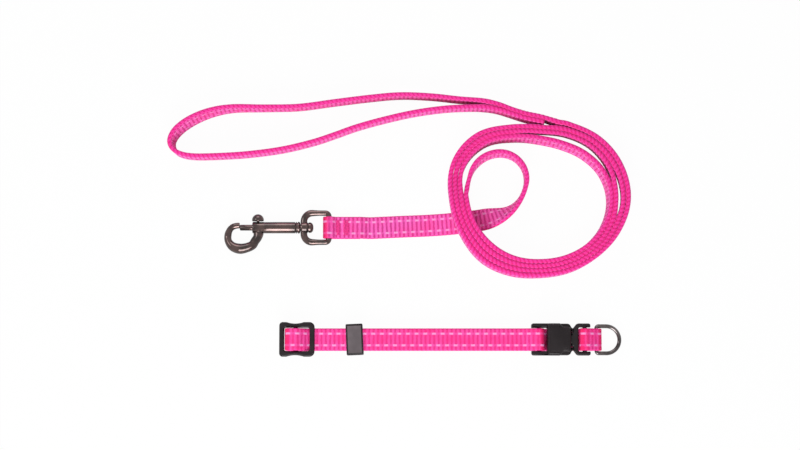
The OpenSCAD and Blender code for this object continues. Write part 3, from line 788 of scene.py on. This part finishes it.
def strand_room(places, look):
    """For both faces at each place, how far the strap swells where it stands on its edge (a
    little where it is free, up to the next strand where that is close) and how much it touches."""
    free, half_t = look.edge_fullness / MM, look.thickness / MM / 2
    tree = kdtree.KDTree(len(places))
    for i, (_, spot) in enumerate(places):
        tree.insert(spot.centre, i)
    tree.balance()
    rooms = []
    for s, spot in places:
        room = [CLOSE + LET_GO, CLOSE + LET_GO]
        if abs(spot.across.z) > 0.5:
            for centre, j, _ in tree.find_range(spot.centre, SEARCH):
                if abs(places[j][0] - s) > OTHER:
                    away = (centre - spot.centre).dot(spot.face)
                    room[away < 0] = min(room[away < 0], abs(away) / 2 - half_t)
        touch = [ease((CLOSE + LET_GO - r) / LET_GO) for r in room]
        rooms.append([
            Vector((max(free, r) if r < CLOSE else free + (CLOSE - free) * t, t))
            for r, t in zip(room, touch)
        ])
    out = []
    for i, (_, spot) in enumerate(places):
        near = rooms[max(i - EVEN, 0):i + EVEN + 1]
        out.append([
            sum((r[k] for r in near), Vector((0, 0))) * (abs(spot.across.z) / len(near))
            for k in (0, 1)
        ])
    return out


def webbing_point(look, spot, s, part, room):
    """One point of the section at s along the strap: its place and millimetres across."""
    share, level, kind = part
    wave = 0.5 - 0.5 * math.cos(TURN * s * MM / look.rib_pitch)
    depth = look.rib_depth / MM * (1 - 0.7 * abs(spot.across.z))
    half_t, half_w = look.thickness / MM / 2, look.width / MM / 2
    dip = {"rib": depth * wave, "row": 0.4 * depth, "outer": 0.8 * depth * wave}
    out = half_t + room[level < 0].x - dip.get(kind, 0.0)
    a = share * (half_w - (0.03 * wave if kind == "edge" else 0.0))
    return (spot.centre + spot.across * a + spot.face * (level * out)) * MM, a


def bend_and_shade_mask(places, i, left_only, reach=4):
    """For both faces, 1 where the strap bulges round a bar on a face turned steeply sideways (only
    those turned to the left where left_only is set) and 0 where it lies nearly straight: the mask
    of the deep yarn colour and its painted shade.
    """
    a, b = places[max(i - reach, 0)], places[min(i + reach, len(places) - 1)]
    along = (b[1].centre - a[1].centre).normalized()
    turned = (b[1].face - a[1].face).dot(along) / max(b[0] - a[0], 0.1)
    x = places[i][1].face.x
    return [
        ease((-side * x if left_only else abs(x)) / 0.3) * ease((side * turned - 0.12) / 0.2)
        for side in (1, -1)
    ]


def webbing_piece(name, frames, look, shift=0.0, sealed=(True, True), left_only=False):
    """Sweeps the ribbed section along the frames and lays the weave map and the marks on it.
    Gives back the piece and its length in metres."""
    places = even_frames(frames, look.rib_pitch / MM / 4)
    n, count, length = len(SECTION), len(places), places[-1][0]
    verts, sides = [], []
    marks = {"bend": [], "seal": [], "level": [], "touch": []}
    rooms = strand_room(places, look)
    for i, (s, spot) in enumerate(places):
        bend_and_shade = bend_and_shade_mask(places, i, left_only)
        burnt = max(sealed[0] * (1 - s / SEAL), sealed[1] * (1 - (length - s) / SEAL), 0.0)
        for part in SECTION:
            share, level, _ = part
            p, a = webbing_point(look, spot, s + shift, part, rooms[i])
            verts.append(p)
            sides.append(a)
            touch = rooms[i][level < 0].y * (0.5 < abs(level) and abs(share) > 0.8)
            for values, value in zip(marks.values(), (bend_and_shade[level < 0], burnt, level, touch)):
                values.append(value)
    faces = [
        (i * n + j, (i + 1) * n + j, (i + 1) * n + (j + 1) % n, i * n + (j + 1) % n)
        for i in range(count - 1) for j in range(n)
    ]
    faces += [tuple(range(n)), tuple(reversed(range((count - 1) * n, count * n)))]
    piece = mesh_piece(name, verts, faces)
    weave = piece.data.uv_layers.new(name="weave")
    for loop in piece.data.loops:
        v = loop.vertex_index
        along = places[v // n][0] + shift
        weave.data[loop.index].uv = (sides[v] / MAP_SCALE, along / MAP_SCALE)
    for mark, values in marks.items():
        layer = piece.data.attributes.new(mark, "FLOAT", "POINT")
        layer.data.foreach_set("value", values)
    return settle(piece, 60), length * MM


# ------------------------------------------------------------------ stitching
# A stitch seen from its side: share of its length and height of the thread's middle
STITCH = ((0.0, -0.16), (0.08, 0.05), (0.3, 0.14), (0.7, 0.14), (0.92, 0.05), (1.0, -0.16))


def stitched_piece(name, stitches, radius=0.14):
    """Sewn stitches, each from a start to an end, standing off along out."""
    lines = [
        [(Vector(start).lerp(Vector(end), u) + Vector(out) * h, radius) for u, h in STITCH]
        for start, end, out in stitches
    ]
    return joined(name, wire_piece(*lines, sides=1))


def stitch_row(start, end, out, pitch=2.0, gap=0.35):
    """Straight stitches from start to end."""
    start, end = Vector(start), Vector(end)
    count = max(1, round((end - start).length / pitch))
    inset = gap / 2 / (end - start).length
    return [
        (start.lerp(end, k / count + inset), start.lerp(end, (k + 1) / count - inset), out)
        for k in range(count)
    ]


def stitch_box(x0, x1, half, y, z, out):
    corners = [(x0, y - half, z), (x1, y - half, z), (x1, y + half, z), (x0, y + half, z)]
    return [
        stitch for a, b in zip(corners, corners[1:] + corners[:1])
        for stitch in stitch_row(a, b, out, 1.6)
    ]


def bar_tack(x0, x1, half, y, z, pitch=0.36, uneven=0.12):
    """A bar tack: threads packed side by side, their ends a little uneven."""
    rows = [(k % 2 * uneven, y - half + k * pitch) for k in range(round(2 * half / pitch) + 1)]
    return [((x0 + d, row, z), (x1 - uneven + d, row, z), (0, 0, 1)) for d, row in rows]


# ------------------------------------------------------------------ hardware layout
# In millimetres, from SNAP_PLACE and from COLLAR_PLACE. BARREL holds its two ends and radius,
# BOLT its tip and the end of its rod, GLIDE its length, half width, underside and top, KEEPER
# its middle, length and half width, SHELL and PLUG their two ends, underside and top, MOUTH its
# floor and roof, and HINGE the place that a prong turns on and its radius there.
AXIS_X = (0, math.pi / 2, 0)
AXIS_Y = (-math.pi / 2, 0, 0)
EYE_HALF = 6.65
EYE_LEFT = -11.35
EYE_WIRE = 1.25
EYE_SHOULDER = 1.55
BARREL = (-34.7, -15.2, 2.6)
BORE_R = 1.85
BOLT_R = 1.35
NOSE_R = BOLT_R + 0.05
BOLT = (-40.43, -33.45)
PISTON = 2.4
KNOB_X = -32.25
KNOB_R = 2.7
BOLT_TRAVEL = 6
SPRING_WIRE = 0.2
SPRING_TURNS = 8
SPRING_SIDES = 16
# The hook from its tip to its heel: along and aside of the barrel's end, and half thickness
HOOK = (
    (-5.88, 0.91, 1.3), (-6.99, 0.91, 1.35), (-8.88, 0.38, 1.4), (-10.32, -1.06, 1.45),
    (-11.1, -3.46, 1.65), (-10.88, -6.14, 1.7), (-8.99, -8.54, 2.1), (-5.77, -9.6, 2.38),
    (-2.55, -9.12, 2.2), (0, -7.97, 2.1), (1.11, -6.24, 2.05), (2.33, -4.42, 2.1),
    (2.78, -2.59, 2.3), (2.78, -1.34, 1.9),
)
# The rounding of the hook's tip: how far along, and the share of the tip's thickness
HOOK_TIP = ((0.13, 0.6), (0.1, 0.85), (0.02, 0.96))
INNER_HALF = 5.4
SNUG_HALF = 5.17
GLIDE = (15.9, 7.8, 6.1, 7.7)
GLIDE_RAIL = 2.3
KEEPER = (33.8, 7.6, 7.0)
KEEPER_TURN = math.radians(2.5)
KEEPER_TOP = 7.3
BUCKLE_HALF = 7.2
SHELL = (120.2, 130.9, 1.6, 8.8)
MOUTH = (3.6, 6.8)
WINDOW = 125.4
EAR = 113.2
PLUG = (132.0, 139.8, 3.8, 6.6)
HINGE = (131.1, 4.05, 0.65)
RING_WIRE = 0.9
RING_HALF = 6.1
RING_LEN = 10.7
# Where the bar tacks start and end behind the eye, and where the hand loop is sewn down: from
# x, to x and beyond y, with two rows that far from its middle
TACKS = ((3.4, 5.0), (6.6, 9.0))
SEWN = (52.5, 71.6, 46.5)
ROWS = (-3.5, 3.5)


def in_snap(x, y=0.0, z=0.0):
    return Vector(SNAP_PLACE) + Vector((x, y, z))


def in_collar(x, y=0.0, z=0.0):
    return Vector(COLLAR_PLACE) + Vector((x, y, z))


def buckle_bar(x):
    """A bar of the buckle that the webbing goes round."""
    return turned_piece(
        [(-6.0, 0.6), (-5.9, 1.0), (5.9, 1.0), (6.0, 0.6)], in_collar(x, 0, BAR_Z), AXIS_Y
    )


# ------------------------------------------------------------------ operators
class LEASH_OT_stage(bpy.types.Operator):
    """Sets up the camera, the pale floor and the soft light."""

    bl_idname = "leash.stage"
    bl_label = "Stage"

    def execute(self, context):
        look = context.scene.leash_stage
        aim = Vector((0, 0, 0.003))
        a, e = look.azimuth, look.elevation
        back = Vector((math.sin(a) * math.cos(e), -math.cos(a) * math.cos(e), math.sin(e)))
        camera = bpy.data.cameras.new("camera")
        camera.lens = look.lens
        camera.sensor_width = 36
        camera.clip_start, camera.clip_end = 0.01, 20
        viewer = self.put(camera, aim + back * look.distance, back)
        context.scene.camera = viewer
        context.scene.view_settings.view_transform = "Standard"
        self.floor()
        self.world(look.soft_light)
        for name, place, size, power in (
            ("front_softbox", (-0.03, -0.46, 0.38), (0.32, 0.40), look.front_light),
            ("left_softbox", (-0.44, 0.12, 0.42), (0.15, 0.30), 0.5 * look.side_light),
            ("back_softbox", (-0.05, 0.54, 0.28), (0.45, 0.35), look.side_light),
        ):
            lamp = bpy.data.lights.new(name, "AREA")
            lamp.shape = "RECTANGLE"
            lamp.size, lamp.size_y = size
            lamp.energy = power
            self.put(lamp, place, Vector(place))
        return {"FINISHED"}

    def put(self, data, place, back):
        """Puts a camera or a lamp at a place, facing away from back."""
        made = bpy.data.objects.new(data.name, data)
        bpy.context.collection.objects.link(made)
        made.location = place
        made.rotation_mode = "QUATERNION"
        made.rotation_quaternion = (-back).to_track_quat("-Z", "Y")
        return made

    def shown(self, nodes):
        """1 for what the camera sees directly, in metal or through glass."""
        path = nodes.add("LightPath").outputs
        seen = nodes.maths("MAXIMUM", path["Is Glossy Ray"], path["Is Transmission Ray"])
        return nodes.maths("MAXIMUM", path["Is Camera Ray"], seen)

    def floor(self):
        only()
        bpy.ops.mesh.primitive_plane_add(size=6, location=(0, 0, -0.0002))
        plane = bpy.context.object
        plane.name = "floor"
        material, nodes, shader = fresh_material("pale_floor")
        nodes.plug(shader, {"Base Color": (0.86, 0.86, 0.86), "Roughness": 0.9})
        mix, glow = nodes.add("MixShader"), nodes.add("Emission").outputs["Emission"]
        nodes.plug(mix, {0: nodes.times(self.shown(nodes), 0.97), 1: shader.outputs[0], 2: glow})
        out = next(n for n in nodes.tree.nodes if n.type == "OUTPUT_MATERIAL")
        nodes.plug(out, {"Surface": mix.outputs["Shader"]})
        plane.data.materials.append(material)

    def world(self, strength):
        world = bpy.data.worlds.new("studio")
        bpy.context.scene.world = world
        nodes = Nodes(world)
        sky, out = nodes.add("Background"), nodes.add("OutputWorld")
        level = nodes.between(self.shown(nodes), 0.0, 1.0, strength, 1.0)
        nodes.plug(sky, {"Strength": level})
        nodes.plug(out, {"Surface": sky.outputs["Background"]})


class LEASH_OT_strap(bpy.types.Operator):
    """Lays the leash's webbing from the sewn end at the snap to the end of the hand loop."""

    bl_idname = "leash.strap"
    bl_label = "Leash Webbing"

    def execute(self, context):
        look = context.scene.leash_webbing
        strap, length = webbing_piece("leash_strap", leash_frames(), look, left_only=True)
        seat(strap, "pink_webbing", "leash", "leash_webbing_end", "leash_webbing_lead",
             "leash_webbing_coil", "leash_webbing_handle")
        return {"FINISHED"}


class LEASH_OT_collar_straps(bpy.types.Operator):
    """Lays the collar's webbing: the doubled half and the half to the D-ring and the plug."""

    bl_idname = "leash.collar_straps"
    bl_label = "Collar Webbing"

    def execute(self, context):
        look = context.scene.leash_webbing
        loop, loop_length = webbing_piece(
            "collar_strap_loop", collar_loop_frames(), look, 0.0, (True, False)
        )
        seat(loop, "pink_webbing", "collar", "collar_webbing_loop", finish="collar_webbing")
        back, back_length = webbing_piece(
            "collar_strap_back", collar_back_frames(), look, loop_length / MM, (False, True)
        )
        seat(back, "pink_webbing", None, "collar_webbing_back", finish="collar_webbing")
        return {"FINISHED"}


class LEASH_OT_swivel_eye(bpy.types.Operator):
    """Bends the wire of the swivel eye round the webbing's fold and turns its boss."""

    bl_idname = "leash.swivel_eye"
    bl_label = "Swivel Eye"

    def execute(self, context):
        h, left, front, rear = EYE_HALF, EYE_LEFT, 1.6, 3.8
        half = [
            (0, 2.0), (0, 4.0), *arc((-front, h - front), front, 0, 90, 10), (-3.0, h), (-4.5, h),
            (-6.0, h), *arc((left + rear, h - rear), rear, 90, 180, 10),
        ]
        plan = [(0, 0), *half, (left, 0), *mirrored(half)]
        wire = wire_piece([
            (in_snap(x, y), EYE_WIRE + (EYE_SHOULDER - EYE_WIRE) * ease((-4 - x) / 5))
            for x, y in plan
        ], closed=True, sides=8)
        boss = turned_piece([
            (-12.93, 1.9), (-12.78, 2.3), (-12.4, 2.55), (-11.9, 2.6), (-10.3, 2.6), (-9.8, 2.5),
            (-9.48, 2.25), (-9.36, 1.9), (-9.36, 1.26), (-12.93, 1.26),
        ], SNAP_PLACE, AXIS_X, ring=True)
        seat(joined("snap_eye", wire, boss), "gunmetal", "eye", "swivel_eye")
        return {"FINISHED"}


class LEASH_OT_snap_body(bpy.types.Operator):
    """Turns the barrel and its rivet, cuts the thumb slot and draws the hook."""

    bl_idname = "leash.snap_body"
    bl_label = "Snap Body"

    def execute(self, context):
        left, right, r = BARREL
        barrel = turned_piece([
            (left, 1.7), (left, r - 0.3), (left + 0.1, r - 0.1), (left + 0.35, r),
            (right - 0.25, r), (right - 0.07, r - 0.07), (right, r - 0.25), (right, BORE_R),
            (left + 1.2, BORE_R), (left + 1.2, NOSE_R), (left, NOSE_R),
        ], SNAP_PLACE, AXIS_X, steps=64, ring=True)
        slot = KNOB_X - 0.8
        barrel = cut(barrel, in_snap(slot, 0, -0.8), in_snap(slot + BOLT_TRAVEL + 1.6, 5, 0.8))
        seat(joined("snap_hook", barrel, self.hook(left)), "gunmetal", "snap", "snap_body")
        rivet = turned_piece([
            (-18.1, 0.4), (-18.1, 1.82), (-15.2, 1.82), (-15.2, 2.25), (-15.05, 2.3),
            (-14.95, 2.62), (-14.75, 2.75), (-14.55, 2.62), (-14.45, 2.3), (-14.15, 2.3),
            (-14.05, 2.62), (-13.8, 2.75), (-13.45, 2.7), (-13.15, 2.45), (-13.02, 2.1),
            (-13.02, 1.2), (-9.3, 1.2), (-9.3, 2.15), (-9.15, 2.4), (-8.4, 2.42), (-7.9, 2.25),
            (-7.45, 1.85), (-7.15, 1.3), (-7.02, 0.7), (-7.0, 0.2),
        ], SNAP_PLACE, AXIS_X)
        seat(joined("snap_rivet", rivet), "gunmetal", "snap", "swivel_rivet")
        return {"FINISHED"}

    def hook(self, left):
        """The hook's wire, which is a little deeper along its bow."""
        route = [Vector(p) for p in HOOK]
        route = smooth_route(2 * route[0] - route[1], route, 2 * route[-1] - route[-2])
        tip = [(route[0] + Vector((d, 0, 0)), k) for d, k in HOOK_TIP]
        hook = wire_piece([
            (in_snap(left + p.x, p.y), k * p.z) for p, k in tip + [(q, 1.0) for q in route[1:]]
        ], sides=10)
        for v in hook.data.vertices:
            low = ease((-2.5 - (v.co.y / MM - SNAP_PLACE[1])) / 2)
            axis = SNAP_PLACE[2] * MM
            v.co.z = axis + (v.co.z - axis) * (1 + 0.15 * low)
        return hook


class LEASH_OT_snap_bolt(bpy.types.Operator):
    """Turns the sliding bolt and its thumb knob."""

    bl_idname = "leash.snap_bolt"
    bl_label = "Snap Bolt"

    def execute(self, context):
        tip, back = BOLT
        bolt = turned_piece([
            (tip, 0.2), (tip, 0.95), (tip + 0.15, 1.2), (tip + 0.45, BOLT_R), (back, BOLT_R),
            (back, 1.8), (back + PISTON, 1.8), (back + PISTON, 0.2),
        ], SNAP_PLACE, AXIS_X, steps=64)
        knob = turned_piece([
            (1.0, 0.69), (2.86, 0.69), (2.86, 2.4), (2.95, 2.6), (3.15, KNOB_R), (3.45, KNOB_R),
            *arc((3.45, 0), KNOB_R, 82, 10, 9), (6.15, 0.1),
        ], in_snap(KNOB_X), AXIS_Y, steps=64)
        seat(joined("thumb_bolt", bolt, knob), "gunmetal", "bolt", "snap_bolt", "thumb_knob")
        return {"FINISHED"}


class LEASH_OT_bolt_spring(bpy.types.Operator):
    """Winds the spring behind the bolt, which is pressed flat as the bolt slides back."""

    bl_idname = "leash.bolt_spring"
    bl_label = "Bolt Spring"

    def execute(self, context):
        low, high = (Vector(c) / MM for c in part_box("bolt_spring"))
        length, r = high.x - low.x, (high.z - low.z) / 2 - SPRING_WIRE
        steps = SPRING_TURNS * SPRING_SIDES
        start, pitch = low.x - SNAP_PLACE[0] + SPRING_WIRE, (length - 2 * SPRING_WIRE) / steps
        angles = [TURN * k / SPRING_SIDES for k in range(steps + 1)]
        coil = wire_piece([
            (in_snap(start + pitch * k, r * math.sin(a), r * math.cos(a)), SPRING_WIRE)
            for k, a in enumerate(angles)
        ], sides=2)
        seat(joined("bolt_coil_spring", coil), "spring_steel", "snap", "bolt_spring")
        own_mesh(coil)
        return {"FINISHED"}


class LEASH_OT_tri_glide(bpy.types.Operator):
    """Moulds the tri-glide's waisted frame and its centre bar."""

    bl_idname = "leash.tri_glide"
    bl_label = "Tri-glide"

    def execute(self, context):
        length, half, low, high = GLIDE
        waist_at, dip, round_r = 0.45 * length, 0.7, 11.8
        waist = [waist_at + k for k in (-3.9, -2.9, -1.9, -0.9, 0, 0.9, 1.9, 2.9, 3.9)]
        rim = both_sides((0, half, 2.4), *[
            (x, half + round_r - dip - math.sqrt(round_r ** 2 - (x - waist_at) ** 2), 0.0)
            for x in waist
        ], (length, half, 2.9))
        hole = both_sides((GLIDE_RAIL, SNUG_HALF, 0.7), (length - GLIDE_RAIL, SNUG_HALF, 0.7))
        plate = plate_piece([rim, hole], low, high, 0.78, 5)
        bar = turned_piece([
            (-6.4, 0.6), (-6.3, 0.95), (-6.2, 1.0), (6.2, 1.0), (6.3, 0.95), (6.4, 0.6),
        ], in_collar(GLIDE_BAR, 0, BAR_Z), AXIS_Y)
        posts = [
            plate_piece([[
                (GLIDE_BAR + x, side * y, 0.2)
                for x, y in ((-1, 5.3), (1, 5.3), (1, 6.55), (-1, 6.55))
            ]], BAR_Z - 1, low + 0.8, 0.1, 2)
            for side in (-1, 1)
        ]
        slide = joined("collar_slide", plate, bar, *posts)
        seat(slide, "black_plastic", "collar", "tri_glide")
        return {"FINISHED"}


class LEASH_OT_keeper(bpy.types.Operator):
    """Moulds the strap keeper: a band round the collar's layers with a matt top that is painted
    lighter, standing in for the light it reflects.
    """

    bl_idname = "leash.keeper"
    bl_label = "Strap Keeper"

    def execute(self, context):
        middle, length, half = KEEPER
        band = both_sides((1.6, half, 0.7), (KEEPER_TOP, half, 0.9))
        hole = both_sides((2.8, INNER_HALF, 0.3), (6.1, INNER_HALF, 0.3))
        keeper = plate_piece([band, hole], -length / 2, length / 2, 0.5, place=(0, 0))
        keeper.rotation_euler = (0, -math.pi / 2, KEEPER_TURN)
        keeper.location = in_collar(middle) * MM
        settle(joined("collar_keeper", keeper))
        seat(keeper, "black_plastic", "keeper", "strap_keeper", finish="keeper_plastic")
        # painted light: the top face, inset from its rims, gets the lighter colour
        keeper.data.materials.append(material_of("painted_lit_keeper_top"))
        bpy.ops.object.mode_set(mode="EDIT")
        bpy.ops.mesh.select_all(action="DESELECT")
        bpy.ops.object.mode_set(mode="OBJECT")
        for face in keeper.data.polygons:
            face.select = face.normal.z > 0.99 and face.center.z > (KEEPER_TOP - 0.1) * MM
        bpy.ops.object.mode_set(mode="EDIT")
        bpy.ops.mesh.inset(thickness=0.25 * MM, depth=0)
        keeper.active_material_index = 1
        bpy.ops.object.material_slot_assign()
        bpy.ops.object.mode_set(mode="OBJECT")
        return {"FINISHED"}


class LEASH_OT_buckle_socket(bpy.types.Operator):
    """Moulds the buckle's socket: its shell, its ears and the bar that the webbing goes round."""

    bl_idname = "leash.buckle_socket"
    bl_label = "Buckle Socket"

    def execute(self, context):
        left, right, low, high = SHELL
        h, floor, roof = BUCKLE_HALF, *MOUTH
        shell = plate_piece([both_sides(
            (left, h, 1.2), (WINDOW + 0.7, h, 0.6), (WINDOW + 1.8, 5.8, 1.2), (right, 5.6, 1.4)
        )], low, high, 1.3, 6)
        # the mouth between the guides, the catches' pockets and the windows for the press pads
        for start, end, half in (
            (left + 1.2, right + 1, 4.9), (left + 1.2, WINDOW - 1.1, 5.9), (WINDOW, right + 1, 9)
        ):
            shell = cut(shell, in_collar(start, -half, floor), in_collar(end, half, roof))
        panel = plate_piece([both_sides(
            (left + 1.4, 5.4, 0.5), (WINDOW + 0.6, 5.4, 0.6), (WINDOW + 1.6, 4.1, 0.8),
            (right - 1.2, 3.9, 1.0),
        )], high - 0.4, high + 0.16, 0.16, 3)
        ears = plate_piece([both_sides(
            (left + 1.6, h, 0.1), (EAR, h, 1.7), (EAR, SNUG_HALF, 0.15),
            (left + 0.05, SNUG_HALF, 0.4),
        )], BAR_Z - 1.8, BAR_Z + 1.8, 0.6, 5)
        socket = joined("collar_socket", shell, panel, ears, buckle_bar(SOCKET_BAR))
        seat(socket, "black_plastic", "collar", "buckle_socket")
        return {"FINISHED"}


class LEASH_OT_buckle_plug(bpy.types.Operator):
    """Moulds the buckle's plug: its frame, tongue and bar, and the two sprung prongs."""

    bl_idname = "leash.buckle_plug"
    bl_label = "Buckle Plug"

    def execute(self, context):
        left, right, low, high = PLUG
        h = BUCKLE_HALF
        x, y, r = HINGE
        body = plate_piece([both_sides(
            (SHELL[0] + 2.4, 1.9, 0.5), (x, 1.9, 0.2), (x, 3.2, 0.2), (left, 3.2, 0.2),
            (left, 5.0, 0.3), (left + 1.7, h, 1.8), (right, h, 1.5), (right, INNER_HALF, 0.3),
            (left + 2.4, INNER_HALF, 0.7),
        )], low, high, 0.7, 5)
        plug = joined("collar_plug", body, buckle_bar(PLUG_BAR))
        seat(plug, "black_plastic", "plug", "buckle_plug")
        tip, catch, pad = SHELL[0] + 1.8, WINDOW - 1.3, WINDOW + 0.5
        prong = [
            (tip, 3.4, 0.2), (tip, 4.4, 0.3), (catch - 0.6, 5.7, 0.2), (catch, 5.7, 0.1),
            (catch, 4.7, 0.1), (pad, 4.7, 0.1), (pad, 7.1, 0.5), (pad + 4.4, 7.1, 2.8),
            (SHELL[1] + 0.4, 5.3, 0.5), (x + 0.85, 4.9, 0.3), (x + 0.85, 3.4, 0.3),
        ]
        for side, name in ((1, "back"), (-1, "front")):
            arm = plate_piece([[(a, side * b, c) for a, b, c in prong]], low, high, 0.4)
            knuckle = turned_piece([
                (low, r - 0.1), (low + 0.1, r), (high - 0.1, r), (high, r - 0.1)
            ], in_collar(x, side * y), steps=24)
            seat(joined(f"prong_{name}_pad", arm, knuckle), "black_plastic", name + "_prong",
                 "prong_" + name)
        return {"FINISHED"}


class LEASH_OT_d_ring(bpy.types.Operator):
    """Bends the collar's D-ring."""

    bl_idname = "leash.d_ring"
    bl_label = "D-ring"

    def execute(self, context):
        h, bend, side = RING_HALF, 1.05, RING_LEN - RING_HALF
        half = [
            (0.75 * side, h), (0.5 * side, h), *arc((bend, h - bend), bend, 90, 180, 10), (0, 3.0)
        ]
        plan = [*arc((side, 0), h, -90, 90, 40), *half, (0, 0), *mirrored(half)]
        tilt = math.asin((RING_BAR[1] - RING_WIRE) / RING_LEN)
        across, down = math.cos(tilt), math.sin(tilt)
        ring = wire_piece([
            (in_collar(RING_BAR[0] + x * across, y, RING_BAR[1] - x * down), RING_WIRE)
            for x, y in plan
        ], closed=True, sides=8)
        seat(joined("collar_ring", ring), "nickel", "ring", "d_ring")
        return {"FINISHED"}


class LEASH_OT_stitching(bpy.types.Operator):
    """Sews the bar tacks behind the eye and the rows at the hand loop and on the collar."""

    bl_idname = "leash.stitching"
    bl_label = "Stitching"

    def execute(self, context):
        x, y, z = SNAP_PLACE
        top = z - FOLD_R + 2 * THICK + LAYER_GAP - THICK / 2
        tacks = [
            stitch for start, end in TACKS
            for stitch in bar_tack(x + start, x + end, 3.3, y, top)
        ]
        fullness = THICK / 2 + context.scene.leash_webbing.edge_fullness / MM
        left, right, front = SEWN
        sewn = [
            f for f in route_frames(handle_route())
            if f.centre.y > front and left < f.centre.x < right
        ][:24]
        rows = []
        for rise in ROWS:
            line = [f.centre + f.across * rise - f.face * fullness for f in sewn]
            for a, b, f in zip(line[::2], line[2::2], sewn[::2]):
                rows += stitch_row(a, b, -f.face, 2.2)
        slide, ring, y = in_collar(GLIDE_BAR + 9).x, in_collar(PLUG_BAR).x, COLLAR_PLACE[1]
        under = stitch_box(slide - 2.5, slide + 2.5, 3.5, y, UNDER_MID - THICK / 2, (0, 0, -1))
        over = stitch_box(ring - 2, ring + 2, 3.5, y, THICK, (0, 0, 1))
        for name, stitches, radius, body, node in (
            ("snap_bar_tacks", tacks, 0.12, "leash", "snap_end_stitching"),
            ("hand_loop_rows", rows, 0.14, "leash", "handle_stitching"),
            ("slide_stitches", under, 0.14, "collar", "tri_glide_stitching"),
            ("ring_stitches", over, 0.14, None, "d_ring_stitching"),
        ):
            seat(stitched_piece(name, stitches, radius), "pink_thread", body, node)
        return {"FINISHED"}


class LEASH_PT_panel(bpy.types.Panel):
    """Lists the pieces of the set and their settings."""

    bl_idname = "LEASH_PT_panel"
    bl_label = "Leash Set"
    bl_space_type = "VIEW_3D"
    bl_region_type = "UI"
    bl_category = "Leash Set"

    def draw(self, context):
        for operator in OPERATORS:
            self.layout.operator(operator.bl_idname)
        for group in SETTINGS:
            box = self.layout.box()
            settings = getattr(context.scene, group)
            for name in settings.bl_rna.properties.keys():
                if name not in ("rna_type", "name"):
                    box.prop(settings, name)


OPERATORS = (
    LEASH_OT_stage, LEASH_OT_strap, LEASH_OT_collar_straps, LEASH_OT_swivel_eye,
    LEASH_OT_snap_body, LEASH_OT_snap_bolt, LEASH_OT_bolt_spring, LEASH_OT_tri_glide,
    LEASH_OT_keeper, LEASH_OT_buckle_socket, LEASH_OT_buckle_plug, LEASH_OT_d_ring,
    LEASH_OT_stitching,
)
SETTINGS = {
    "leash_webbing": WebbingSettings,
    "leash_hardware": HardwareSettings,
    "leash_stage": StageSettings,
}


def register():
    for kind in (*SETTINGS.values(), *OPERATORS, LEASH_PT_panel):
        bpy.utils.register_class(kind)
    for name, kind in SETTINGS.items():
        setattr(bpy.types.Scene, name, bpy.props.PointerProperty(type=kind))


def unregister():
    for name in SETTINGS:
        delattr(bpy.types.Scene, name)
    for kind in reversed((*SETTINGS.values(), *OPERATORS, LEASH_PT_panel)):
        bpy.utils.unregister_class(kind)


def main():
    register()
    for operator in OPERATORS:
        group, name = operator.bl_idname.split(".")
        getattr(getattr(bpy.ops, group), name)()


if __name__ == "__main__":
    main()
